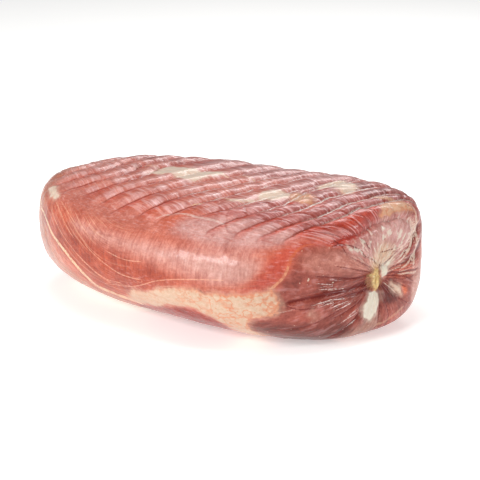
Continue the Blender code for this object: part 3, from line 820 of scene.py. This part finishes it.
def pucker_relief(sizes, across, up):
    """Creases that run to the gathered spot as bell-shaped grooves, its hollow and its knot.

    The knot and the tuft beside it are flat-topped bells, exp(-r^4), and the knot's top is
    ribbed by a sine across it.
    """
    reach = np.hypot(across, up)
    angle = np.arctan2(up, across)
    relief = np.zeros_like(reach)
    for heading, first, last, depth in CREASES:
        turned = angle - radians(heading)
        beside = reach * np.sin(turned)
        shown = smooth_step(reach, first - CREASE_START, first + CREASE_START)
        shown = shown * smooth_step(reach, last, last - CREASE_FADE) * (np.cos(turned) > 0.0)
        groove = np.exp(-(beside / CREASE_HALF_WIDTH) ** 2) * shown
        relief = relief - CREASE_SHARE * depth * groove
    hollow = np.exp(-(reach / PUCKER_RADIUS) ** 2)
    ribs = 0.75 + 0.25 * np.sin(1.9 * across + 0.6 * np.sin(0.5 * up))
    knot = ribs * np.exp(-(((across - KNOT_PLACE[0]) / KNOT_WIDTH) ** 2
                           + ((up - KNOT_PLACE[1]) / KNOT_REACH) ** 2) ** 2)
    tuft = np.exp(-(((across - TUFT_PLACE[0]) / KNOT_REACH) ** 2
                    + ((up - TUFT_PLACE[1]) / KNOT_WIDTH) ** 2) ** 2)
    knot = np.maximum(knot, TUFT_SHARE * tuft)
    return relief - sizes.pucker_depth * hollow + sizes.knot_height * knot


def uneven_relief(sizes, place):
    """Slow swells: products of sines of the distance along and the distance round."""
    distance, girth = place["distance"], place["girth"]
    wave = np.sin(distance / 31.0 + 0.7) * np.sin(girth / 37.0 + 0.4)
    wave = wave + 0.6 * np.sin(distance / 17.0 - girth / 43.0 + 1.9)
    return sizes.uneven * wave / 1.6


def cell_relief(sizes, place):
    """Pillowed cells in rows between net marks, and where their borders run.

    The border of a cell leaves the mark behind it at a slant and crosses to the next mark,
    girth = start - bend sqrt(share) + slant share.  With p the share of the way through the
    cell, its height is 1 - |2 p - 1|^3, and it fades at the marks as sin(pi share).
    """
    distance, girth = place["distance"], place["girth"]
    share, number, strength = place["share"], place["number"], place["strength"]
    right = window(place, "large_cells")
    bend, slant, pitch, deep, shown = (
        small + more * right
        for small, more in (CELL_BEND, CELL_SLANT, CELL_PITCH, CELL_DEPTH_SHARE, CELL_SEEN))
    pitch = pitch + 2.0 * np.sin(number * 2.1)
    wander = 2.0 * np.sin(girth / 17.0 + number * 1.3) + 1.2 * np.sin(distance / 11.0)
    phase = (girth + wander + bend * np.sqrt(share) - slant * share) / pitch + number * 0.37
    way = phase - np.floor(phase)
    height = 1.0 - np.abs(2.0 * way - 1.0) ** 3
    vary = 0.55 + 0.45 * np.sin(np.floor(phase) * 2.7 + number * 1.7)
    deep = deep - MIDDLE_CELL_SHARE * window(place, "middle_cells")
    between = np.sin(pi * share)
    place["way"] = way
    place["vary"] = vary
    place["border"] = (way - np.round(way)) * pitch
    place["seen"] = strength * shown * smooth_step(between, 0.0, 0.35)
    return sizes.cell_depth * deep * vary * (height - 1.0) * between ** 0.6 * strength


def bent(corners, closed, rounds=2):
    """Round a line's corners by cutting each at a quarter and three quarters of its sides."""
    line = np.array(corners, dtype=float)
    for _ in range(rounds):
        following = np.roll(line, -1, axis=0) if closed else line[1:]
        here = line if closed else line[:-1]
        first = 0.75 * here + 0.25 * following
        second = 0.25 * here + 0.75 * following
        cut = np.stack([first, second], axis=1).reshape(-1, 2)
        line = cut if closed else np.concatenate([line[:1], cut, line[-1:]])
    return line


def line_distance(across, up, line):
    """Distance to a line, which side it is on, and the share of the line's length there."""
    starts = line[:-1]
    sides = np.diff(line, axis=0)
    lengths = np.maximum(np.linalg.norm(sides, axis=1), 1e-9)
    before = np.concatenate(([0.0], np.cumsum(lengths)))
    nearest = np.full(across.shape, 1e9)
    share = np.zeros(across.shape)
    hand = np.ones(across.shape)
    for start, side, length, done in zip(starts, sides, lengths, before):
        along = ((across - start[0]) * side[0] + (up - start[1]) * side[1]) / length ** 2
        along = np.clip(along, 0.0, 1.0)
        gap = np.hypot(across - start[0] - along * side[0], up - start[1] - along * side[1])
        closer = gap < nearest
        nearest = np.where(closer, gap, nearest)
        share = np.where(closer, (done + along * length) / before[-1], share)
        turn = side[0] * (up - start[1]) - side[1] * (across - start[0])
        hand = np.where(closer, np.where(turn < 0.0, -1.0, 1.0), hand)
    return nearest, hand, share


def inside_distance(across, up, corners):
    """Distance to a closed outline, positive inside it by the even-odd rule."""
    outline = bent(corners, True)
    closed = np.concatenate([outline, outline[:1]])
    nearest, _, _ = line_distance(across, up, closed)
    inside = np.zeros(across.shape, dtype=bool)
    for start, finish in zip(closed[:-1], closed[1:]):
        rising = (start[1] > up) != (finish[1] > up)
        slope = (finish[0] - start[0]) / (finish[1] - start[1] + 1e-12)
        inside ^= rising & (across < start[0] + (up - start[1]) * slope)
    return np.where(inside, nearest, -nearest)


def ring_normals(points):
    """Outward directions of rings that close up: across product of the two grid directions."""
    down = np.gradient(points, axis=0)
    around = np.roll(points, -1, axis=1) - np.roll(points, 1, axis=1)
    normal = np.cross(around, down)
    normal = normal / np.maximum(np.linalg.norm(normal, axis=-1, keepdims=True), 1e-12)
    outward = np.sum(normal * (points - points.mean(axis=(0, 1))), axis=-1).mean()
    return normal * np.sign(outward)


def gathered_folds(across, up):
    """Fine folds that fan out from the gathered spot: sharpened waves of the heading.

    Two waves, 17 and 31 to a turn, are cubed and cut into the skin, and low lumps, 5 to a
    turn, ring the knot.
    """
    reach = np.hypot(across, up)
    angle = np.arctan2(up, across)
    near = smooth_step(reach, 3.0, 9.0) * (1.0 - smooth_step(reach, 16.0, 46.0))
    wave = np.sin(17.0 * angle + 0.09 * reach + 0.8 * np.sin(3.0 * angle))
    finer = np.sin(31.0 * angle - 0.12 * reach + 1.3 * np.sin(2.0 * angle + 1.0))
    folds = -0.45 * np.abs(wave) ** 3 - 0.35 * np.abs(finer) ** 3
    tuft = np.exp(-(reach / 11.0) ** 4)
    lumps = 0.6 * np.sin(5.0 * angle + reach * 0.5) * np.exp(-((reach - 6.0) / 5.0) ** 2)
    return folds * near + lumps * tuft


def line_bell(across, up, corners, halves, softness):
    """Bell across a drawn line, exp(-(gap / width)^2), whose width changes along it."""
    gap, _, share = line_distance(across, up, bent(corners, False))
    return np.exp(-(gap / (softness + halves[0] + (halves[1] - halves[0]) * share)) ** 2)


def narrow_crease_lines(across, up):
    """Relief of the narrow creases, sunk by their depth, and of the pale folds, raised."""
    relief = np.zeros(across.shape)
    for depth, first_half, last_half, corners in NARROW_CREASES:
        bell = line_bell(across, up, corners, (first_half, last_half), CREASE_SOFTNESS)
        relief = np.minimum(relief, -depth * bell)
    for first_half, last_half, name, _, corners in THREADS:
        if name == "fold":
            bell = line_bell(across, up, corners, (first_half, last_half), FOLD_SOFTNESS)
            relief = relief + FOLD_HEIGHT * bell
    return relief


def chart(name, place):
    """The two coordinates of a chart, and a window that keeps the end chart to the end."""
    if name == "skin":
        return place["distance"], place["wrapped"], np.ones_like(place["distance"])
    return place["across"], place["up"], place["end_share"]


def toward(tone, colour, share):
    """Move colours towards another by a share for each point."""
    return tone + (np.array(colour) - tone) * share[..., None]


def lean_colours(colours, place):
    """Soft regions of lean laid over each other: each fades across its outline."""
    tone = np.zeros(place["distance"].shape + (3,)) + np.array(colours.lean)
    weights = {}
    for name, softness, where, corners in LEAN_REGIONS:
        first, second, shown = chart(where, place)
        inside = inside_distance(first, second, corners)
        weight = smooth_step(inside, -softness, softness) * shown
        tone = toward(tone, getattr(colours, name), weight)
        weights[name] = np.maximum(weights.get(name, 0.0), weight)
    return tone, weights


def ridge_colours(colours, tone, place, lean):
    """Orange red after each mark, partly painted shade; lavender pink on the crest, partly painted
    sheen.

    With p the share of the way through a cell, the pink is weaker at its borders by
    1 - |2 p - 1|^4.
    """
    flush_and_shade = FLUSH_AND_SHADE_STRENGTH * lean * window(place, "after_mark")
    edge = 1.0 - np.abs(2.0 * place["way"] - 1.0) ** 4
    crest_pink_and_sheen = lean * window(place, "before_mark") * (0.25 + 0.60 * place["vary"] * edge)
    crest_pink_and_sheen = crest_pink_and_sheen * (1.0 - 0.60 * window(place, "less_pink_and_sheen"))
    return toward(toward(tone, colours.ridge_flush, flush_and_shade), colours.ridge_pink_and_sheen, crest_pink_and_sheen)


def fat_fields(colours, place):
    """Distance inside the nearest patch of fat, millimetres, that patch's colour, its veins."""
    best = np.full(place["distance"].shape, -OFF_CHART)
    veined = np.zeros(best.shape)
    tone = np.zeros(best.shape + (3,)) + np.array(colours.fat_cream)
    for name, where, corners in FAT_PATCHES:
        first, second, shown = chart(where, place)
        inside = inside_distance(first, second, corners) - OFF_CHART * (shown < 0.5)
        closer = inside > best
        best = np.where(closer, inside, best)
        tone = np.where(closer[..., None], np.array(getattr(colours, name)), tone)
        veined = np.where(closer, FAT_VEINS.get(name, 0.0), veined)
    return best, tone, veined * (0.35 + 0.65 * window(place, "veins"))


def thread_fields(colours, place, lines):
    """Side distance to the nearest thin line, its width, nearness, strength and colour."""
    near = np.full(place["distance"].shape, FAR_AWAY)
    side = np.full(near.shape, FAR_AWAY)
    width = np.zeros(near.shape)
    strength = np.zeros(near.shape)
    tone = np.zeros(near.shape + (3,)) + np.array(colours.fat_line)
    for first_half, last_half, name, where, corners in lines:
        first, second, shown = chart(where, place)
        gap, hand, share = line_distance(first, second, bent(corners, False))
        half = first_half + (last_half - first_half) * share
        gap = gap + OFF_CHART * (shown < 0.5)
        closer = gap - half < near - width
        near = np.where(closer, gap, near)
        side = np.where(closer, gap * hand, side)
        width = np.where(closer, half, width)
        tone = np.where(closer[..., None], np.array(getattr(colours, name)), tone)
        strength = np.where(closer, THREAD_STRENGTHS.get(name, THREAD_STRENGTH), strength)
    return side, width, near, strength, tone


def skin_places(sizes):
    """The plain loaf's rings of points, and where each lies on the charts and the net marks."""
    along_table, distance_table, turn_table, girth_table = skin_tables(sizes)
    end = distance_table[-1]
    full = girth_table[-1]
    rings = spaced((*RING_PLACES, end - LAST_RING), RING_GAPS)
    girth = spaced((-full / 2.0, *ROUND_PLACES, full / 2.0), ROUND_GAPS)[:-1]
    turn = np.interp(np.where(girth < 0.0, girth + full, girth), girth_table, turn_table)
    along = np.interp(rings, distance_table, along_table)
    surface = loaf_point(sizes, along[:, None], turn[None, :])
    distance, around = np.meshgrid(rings, girth, indexing="ij")
    place = {"distance": distance, "girth": around, "end": end, "full": full}
    place["wrapped"] = np.where(around < WRAP_LINE, around + full, around)
    place["across"] = -1000.0 * surface[..., 1]
    place["up"] = 1000.0 * (surface[..., 2] - WAIST * sizes.height + sizes.pucker_drop)
    place["end_share"] = smooth_step(surface[..., 0], *END_CHART)
    return surface, place


def ham_surface(sizes, colours):
    """Rings of points of the finished skin, its two end points and what lies where on it.

    The plain loaf is moved along its own outward direction by the sum of all the reliefs.
    """
    surface, place = skin_places(sizes)
    distance, across, up = place["distance"], place["across"], place["up"]
    beyond, fades = mark_lines(place)
    place["share"], place["number"], place["strength"] = ridge_share(beyond, fades)
    closest = np.abs(beyond).argmin(axis=0)[None]
    place["mark_side"] = np.take_along_axis(beyond, closest, 0)[0]
    place["mark_fade"] = np.take_along_axis(fades, closest, 0)[0]
    place["fat"], place["fat_tone"], place["veined"] = fat_fields(colours, place)
    at_end = (pucker_relief(sizes, across, up) + narrow_crease_lines(across, up)
              + gathered_folds(across, up))
    end = place["end"]
    ends = smooth_step(distance, 0.0, END_FADE) * smooth_step(distance, end, end - END_FADE)
    nick = np.exp(-(place["mark_side"] / MARK_NICK_HALF) ** 2) * place["mark_fade"]
    relief = (mark_relief(sizes, beyond, fades) + shoulder_relief(sizes, place)
              + at_end * place["end_share"] + uneven_relief(sizes, place) * ends
              + cell_relief(sizes, place) + fine_relief(place)
              + crest_relief(sizes, place["share"], place["strength"])
              - MARK_NICK * nick + FAT_RISE * smooth_step(place["fat"], -2.0, 2.0))
    relief = np.where(surface[..., 2] <= 0.0, 0.0, relief)
    points = surface + ring_normals(surface) * relief[..., None] / 1000.0
    points[..., 2] = np.maximum(points[..., 2], 0.0)
    plain = loaf_point(sizes, np.array([-1.0]), np.array([0.0]))[0]
    drawn = loaf_point(sizes, np.array([1.0]), np.array([0.0]))[0]
    drawn[0] -= (sizes.pucker_depth - sizes.knot_height) / 1000.0
    centre = np.array(LOAF_CENTRE)
    return points - centre, plain - centre, drawn - centre, place


def skin_faces(rows, columns):
    """Triangles between neighbouring rings, and fans to the two end points."""
    row, column = np.meshgrid(np.arange(rows - 1), np.arange(columns), indexing="ij")
    here = (row * columns + column).ravel()
    beside = (row * columns + (column + 1) % columns).ravel()
    below = here + columns
    across = beside + columns
    first = np.stack([here, across, below], axis=1)
    second = np.stack([here, beside, across], axis=1)
    ring = np.arange(columns)
    following = (ring + 1) % columns
    last = (rows - 1) * columns
    start = np.stack([np.full(columns, rows * columns), following, ring], axis=1)
    finish = np.stack([np.full(columns, rows * columns + 1), last + ring, last + following],
                      axis=1)
    return np.concatenate([first, second, start, finish])


def with_ends(values, at_plain, at_drawn):
    """One row of values for each point of the mesh: the rings, then the two end points."""
    rows = values.reshape((-1,) + values.shape[2:])
    ends = np.array([at_plain, at_drawn], dtype=float).reshape((2,) + values.shape[2:])
    return np.concatenate([rows, ends])


def store(mesh, fields):
    """Keep each field's number, vector or colour for every point of the mesh.

    Each end point gets the mean of the ring beside it.
    """
    kinds = {0: ("FLOAT", "value"), 3: ("FLOAT_VECTOR", "vector"), 4: ("FLOAT_COLOR", "color")}
    for name, values in fields.items():
        kind, slot = kinds[values.shape[2] if values.ndim > 2 else 0]
        values = with_ends(values, values[0].mean(axis=0), values[-1].mean(axis=0))
        attribute = mesh.attributes.new(name, kind, "POINT")
        attribute.data.foreach_set(slot, values.astype(np.float32).ravel())


def skin_map(mesh, faces, place):
    """Lay the skin out flat, in metres: distance along and distance round, unbroken."""
    distance, girth, full = place["distance"], place["girth"], place["full"]
    along = with_ends(distance, 0.0, distance.max())[faces]
    round_it = with_ends(girth, 0.0, 0.0)[faces]
    wraps = (round_it.max(axis=1) - round_it.min(axis=1)) > full / 2.0
    round_it = np.where(wraps[:, None] & (round_it < 0.0), round_it + full, round_it)
    ends = faces >= distance.size
    middle = (round_it * ~ends).sum(axis=1) / np.maximum((~ends).sum(axis=1), 1)
    round_it = np.where(ends, middle[:, None], round_it)
    flat = np.stack([along, round_it], axis=-1) / 1000.0
    layer = mesh.uv_layers.new(name="skin")
    layer.data.foreach_set("uv", flat.astype(np.float32).ravel())


def vectors(*parts):
    """One vector for each point from its parts, each given for every point or once for all."""
    return np.stack(np.broadcast_arrays(*parts), axis=-1)


def skin_fields(colours, place):
    """Each field that the material reads, by name, for every point of the rings."""
    distance, share = place["distance"], place["share"]
    tone, weights = lean_colours(colours, place)
    off_end = 1.0 - weights["end_lean"]
    ridges = place["strength"] * off_end
    tone = ridge_colours(colours, tone, place, ridges)
    *thread, thread_tone = thread_fields(colours, place, THREADS)
    *crease, _ = thread_fields(colours, place, [
        (first, last, "crease", "end", corners) for _, first, last, corners in NARROW_CREASES])
    band = window(place, "band") * off_end * (0.25 + 0.75 * window(place, "band_full"))
    band = band * (1.0 - 0.6 * window(place, "band_under"))
    band = np.maximum(band, 0.8 * weights["deep_orange"])
    shoulder = window(place, "shoulder")
    printed = np.maximum(window(place, "large_cells"), 0.7 * window(place, "print_middle"))
    radial = np.maximum(weights["end_lean"], weights["mottled_pink"])
    grain_line = bent(GRAIN_LINE, False)
    level = np.interp(distance, grain_line[:, 0], grain_line[:, 1])
    slant = CELL_SLANT[0] + CELL_SLANT[1] * window(place, "large_cells")
    reach = np.hypot(place["across"], place["up"])
    angle = np.arctan2(place["up"], place["across"])
    fields = {
        "fat": place["fat"],
        "veined": place["veined"],
        "mark_side": place["mark_side"],
        "mark_near": np.abs(place["mark_side"]),
        "mark_fade": place["mark_fade"] * window(place, "before_end"),
        "ridges": (ridges * (0.6 + 0.4 * window(place, "strong_ridges"))
                   * (1.0 - 0.25 * window(place, "far_ridges"))),
        "border": place["border"],
        "border_near": np.abs(place["border"]),
        "border_seen": place["seen"] * off_end,
        "printed": printed * window(place, "print_top"),
        "band": band,
        "shoulder": shoulder,
        "radial": radial * place["end_share"],
        "plain": ((1.0 - 0.8 * np.maximum(band, shoulder)) * (1.0 - 0.6 * ridges)
                  * (1.0 - radial)),
        "end_lean": weights["end_lean"],
        "mottled": weights["mottled_pink"],
        "stroke": vectors((place["girth"] - slant * share) / 1000.0,
                          share / STROKE_DRAW + place["number"] * STROKE_SHIFT, 0.0),
        "fan": vectors(np.cos(angle) * FAN_SCALE, np.sin(angle) * FAN_SCALE,
                       reach / FAN_DRAW),
        "lay": vectors((place["wrapped"] - level) / 1000.0, distance / 1000.0, 0.0),
    }
    for name, colour in (("tone", tone), ("fat_tone", place["fat_tone"]),
                         ("thread_tone", thread_tone)):
        fields[name] = vectors(*np.moveaxis(colour, -1, 0), 1.0)
    for kind, lines in (("thread", thread), ("crease", crease)):
        for name, values in zip(("side", "half", "near", "share"), lines):
            fields[f"{kind}_{name}"] = values
    return fields


def build_ham_mesh(sizes, colours):
    """Mesh of the whole ham with the fields that its material reads."""
    points, plain, drawn, place = ham_surface(sizes, colours)
    faces = skin_faces(*points.shape[:2])
    mesh = bpy.data.meshes.new("cured_ham")
    mesh.from_pydata(with_ends(points, plain, drawn).tolist(), [], faces.tolist())
    mesh.shade_smooth()
    store(mesh, skin_fields(colours, place))
    skin_map(mesh, faces, place)
    return mesh


def add_node(tree, kind, *values, inputs=None, **settings):
    """Add a node by its plain name, with its settings, values and links; give its output."""
    node_type, options, sockets, output = NODES[kind]
    node = tree.nodes.new(node_type)
    for name, value in {**options, **settings}.items():
        setattr(node, name, value)
    for name, value in {**dict(zip(sockets, values)), **(inputs or {})}.items():
        socket = node.inputs[name]
        if isinstance(value, bpy.types.NodeSocket):
            tree.links.new(value, socket)
        elif socket.type == "RGBA":
            socket.default_value = (*value[:3], 1.0)
        else:
            socket.default_value = value
    return None if output is None else node.outputs[output]


def empty_material(name):
    """A material with no nodes yet, and what adds a node to it."""
    material = bpy.data.materials.new(name)
    material.use_nodes = True
    material.node_tree.nodes.clear()
    return material, partial(add_node, material.node_tree)


def cured_meat(colours):
    """Air-cured pork: moist salmon lean with fine grain, waxy cream fat, and a thin shine.

    The lean is slightly see-through, so its edges glow a little, and the rubbed, pressed
    skin has a soft wet sheen that breaks up on the grain.
    """
    material, add = empty_material("cured_meat_skin")
    of = {name: add("field", attribute_name=name) for name in FIELDS}
    tones = {name: add("colour field", attribute_name=name)
             for name in ("tone", "fat_tone", "thread_tone")}
    laid = {name: add("place field", attribute_name=name) for name in ("lay", "stroke", "fan")}
    laid["body"] = add("body")
    laid["skin"] = add("map", uv_map="skin")
    noise = {}
    for name, (where, width, detail, stretch) in PATTERNS.items():
        noise[name] = add("noise", add("draw out", laid[where], stretch), 1000.0 / width,
                          detail, PATTERN_ROUGHNESS)

    def product(*shares):
        """Several shares, multiplied."""
        return reduce(partial(add, "times"), shares)

    def wash(under, name, value, colour, *shares):
        """Lay a colour over another where a value passes the wash's range."""
        none, full, amount = WASHES[name]
        shown = product(add("step", value, none, full), amount, *shares)
        return add("lay over", shown, under, colour)

    def shade(under, name, amount, *shares):
        """Darken and lighten a colour by a pattern, drawn out to its full range."""
        full_range = add("step", noise[name], *SHADE_RANGE)
        return add("soft light", product(*shares, amount), under, full_range)

    def wander(value, name):
        """Move a distance by a pattern, so that no line or edge looks ruled."""
        pattern, low, high, reach = WANDERS[name]
        return add("plus", value, add("step", noise[pattern], low, high, -reach, reach))

    def near(name):
        """Share that keeps a line's colour close to its middle."""
        return add("step", of[name + "_near"], *NEARNESS[name])

    # Lean: slow clouds, blotches a few millimetres wide and the grain of each muscle
    lean = wash(tones["tone"], "red_fibre", noise["fibre"], colours.ridge_flush, of["plain"])
    lean = wash(lean, "pale_fibre", noise["fibre"], colours.film_and_sheen, of["plain"])
    for name, amount in LEAN_SHADES.items():
        lean = shade(lean, name, amount)
    lean = wash(lean, "pale_stripe", noise["stripes"], colours.band_line, of["band"])
    lean = shade(lean, "fine_stripes", STRIPE_SHADE, of["band"])
    lean = shade(lean, "crossing", CROSSING_SHADE, of["shoulder"])
    # Pale strokes on the ridges: partly thin skin, partly painted sheen
    lean = wash(lean, "film_and_sheen_stroke", noise["strokes"], colours.film_and_sheen, of["ridges"])
    lean = shade(lean, "strokes", STROKE_SHADE, of["ridges"])
    lean = shade(lean, "rays", RAY_SHADE, of["radial"])
    lean = wash(lean, "pale_ray", noise["rays"], colours.film_and_sheen, of["radial"])

    # Net marks, borders of the cells and creases: darker bottoms, partly painted shade in the
    # recesses
    mark = add("size of", wander(of["mark_side"], "mark"))
    close = product(near("mark"), of["mark_fade"])
    lean = wash(lean, "groove", mark, colours.groove, close)
    # Cell borders: partly painted shade in the valleys between the cells
    border = add("size of", wander(of["border"], "border"))
    lean = wash(lean, "border", border, colours.groove, near("border"), of["border_seen"])
    # Narrow creases: partly painted shade in their bottoms
    crease = add("minus", add("size of", of["crease_side"]), of["crease_half"])
    lean = wash(lean, "crease", wander(crease, "crease"), colours.crease, near("crease"))

    # White flecks in the gathered skin and on the end's lean
    lean = wash(lean, "fleck", noise["flecks"], colours.fat_white, of["mottled"])
    lean = wash(lean, "speck", noise["specks"], colours.fat_cream, of["end_lean"])

    # Thin lines of fat, broken by the grain
    thread = add("minus", add("size of", of["thread_side"]), of["thread_half"])
    unbroken = add("step", noise["breaks"], *THREAD_BREAKS)
    lean = wash(lean, "thread", wander(thread, "thread"), tones["thread_tone"],
                near("thread"), unbroken, of["thread_share"])

    # Fat: wandering edge, a pale halo where it thins out under the lean, orange pink veins
    edge = wander(wander(of["fat"], "fat_edge"), "fat_fringe")
    lean = wash(lean, "halo", edge, tones["fat_tone"])
    fat = wash(tones["fat_tone"], "rim", edge, colours.vein, of["veined"])
    fat = wash(fat, "stain", noise["stains"], colours.vein, of["veined"])
    vein = add("size of", add("minus", noise["veins"], NOISE_MIDDLE))
    fat = wash(fat, "vein", vein, colours.vein, of["veined"])
    for name, amount in FAT_SHADES.items():
        fat = shade(fat, name, amount)
    # Partly painted shade in the marks where they cross the fat
    fat = wash(fat, "fat_groove_shade", mark, colours.groove, close)
    solid = product(add("step", edge, *FAT_SOLID), add("step", noise["strokes"], *FAT_STREAKS))
    surface = add("lay over", solid, lean, fat)

    # Grey print of the string on what the net pressed
    surface = wash(surface, "string", mark, colours.string_print, close, of["printed"],
                   add("step", noise["grain"], *STRING_BREAKS))

    # Height of the grain, under a third of a millimetre
    height = 0.0
    for name, where, amount in BUMPS:
        share = product(of[where], amount) if where else amount
        height = add("times plus", noise[name], share, height)
    rough = add("step", noise["mottle"], *LEAN_ROUGHNESS)
    shader = add("finish", inputs={
        "Base Color": surface, "Roughness": add("times plus", solid, FAT_ROUGHER, rough),
        "Normal": add("bump", height, GRAIN_STRENGTH, GRAIN_HEIGHT), **MEAT_FINISH})
    add("surface", shader)
    return material


class HAM_OT_cured_ham(bpy.types.Operator):
    """Build the ham's one closed surface and its cured meat material"""

    bl_idname = "ham.cured_ham"
    bl_label = "Cured ham"

    def execute(self, context):
        scene = context.scene
        mesh = build_ham_mesh(scene.ham_sizes, scene.ham_colours)
        mesh.materials.append(cured_meat(scene.ham_colours))
        ham = bpy.data.objects.new("cured_ham", mesh)
        scene.collection.objects.link(ham)
        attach(ham, "root")
        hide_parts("ham")
        return {"FINISHED"}


def pale_floor(stage):
    """Matt pale card, evenly lit."""
    material, add = empty_material("matt_pale_card")
    fibre = add("noise", add("body"), 1000.0 / CARD_FIBRE, 2.0, PATTERN_ROUGHNESS)
    card = add("soft light", CARD_SHADE, stage.floor_colour, fibre)
    shader = add("finish", inputs={
        "Base Color": card, "Roughness": 0.9, "Specular IOR Level": 0.2,
        "Emission Color": (1.0, 1.0, 1.0), "Emission Strength": stage.floor_glow})
    add("surface", shader)
    return material


def aim(name, data, point, heading, rise, distance):
    """Hang a lamp or the camera so far from a point, on a heading and a rise in degrees."""
    holder = bpy.data.objects.new(name, data)
    heading, rise = radians(heading), radians(rise)
    flat = distance * cos(rise)
    holder.location = (point[0] + flat * sin(heading), point[1] - flat * cos(heading),
                       point[2] + distance * sin(rise))
    holder.rotation_euler = (pi / 2.0 - rise, 0.0, heading)
    bpy.context.scene.collection.objects.link(holder)
    return holder


class HAM_OT_stage(bpy.types.Operator):
    """Lay the pale floor, hang the soft lamps and set up the camera"""

    bl_idname = "ham.stage"
    bl_label = "Stage"

    def execute(self, context):
        scene = context.scene
        stage = scene.ham_stage
        half = stage.floor_size / 2.0
        mesh = bpy.data.meshes.new("floor")
        corners = [(-half, -half, 0.0), (half, -half, 0.0), (half, half, 0.0),
                   (-half, half, 0.0)]
        mesh.from_pydata(corners, [], [(0, 1, 2, 3)])
        mesh.materials.append(pale_floor(stage))
        floor = bpy.data.objects.new("floor", mesh)
        scene.collection.objects.link(floor)
        world = bpy.data.worlds.new("plain_surround")
        world.use_nodes = True
        background = world.node_tree.nodes["Background"]
        background.inputs["Color"].default_value = (1.0, 1.0, 1.0, 1.0)
        background.inputs["Strength"].default_value = stage.world_strength
        scene.world = world
        for name, (power, heading, rise, width, height) in LAMPS.items():
            lamp = bpy.data.lights.new(name, "AREA")
            lamp.shape = "RECTANGLE"
            lamp.size = width
            lamp.size_y = height
            lamp.energy = getattr(stage, power)
            aim(name, lamp, LAMP_AIM, heading, rise, LAMP_DISTANCE)
        lens = bpy.data.cameras.new("camera")
        lens.sensor_width = CAMERA_FILM
        lens.lens = CAMERA_LENS
        scene.camera = aim("camera", lens, CAMERA_AIM, CAMERA_HEADING, CAMERA_RISE,
                           stage.camera_distance)
        scene.view_settings.view_transform = "Standard"
        return {"FINISHED"}


class HAM_PT_panel(bpy.types.Panel):
    """Sizes, colours and buttons of the ham"""

    bl_idname = "HAM_PT_panel"
    bl_label = "Cured ham"
    bl_space_type = "VIEW_3D"
    bl_region_type = "UI"
    bl_category = "Ham"

    def draw(self, context):
        scene = context.scene
        for operator in (HAM_OT_cured_ham, HAM_OT_stage):
            self.layout.operator(operator.bl_idname)
        for group in (scene.ham_sizes, scene.ham_colours, scene.ham_stage):
            box = self.layout.box()
            for name in group.__annotations__:
                box.prop(group, name)


CLASSES = (HamSizes, HamColours, HamStage, HAM_OT_cured_ham, HAM_OT_stage, HAM_PT_panel)
GROUPS = {"ham_sizes": HamSizes, "ham_colours": HamColours, "ham_stage": HamStage}


def register():
    """Make the classes known and hang the settings on the scene."""
    for item in CLASSES:
        bpy.utils.register_class(item)
    for name, group in GROUPS.items():
        setattr(bpy.types.Scene, name, bpy.props.PointerProperty(type=group))


def unregister():
    """Take the settings and the classes away again."""
    for name in GROUPS:
        delattr(bpy.types.Scene, name)
    for item in reversed(CLASSES):
        bpy.utils.unregister_class(item)


def main():
    """Build the ham and its stage."""
    register()
    bpy.ops.ham.cured_ham()
    bpy.ops.ham.stage()


if __name__ == "__main__":
    main()
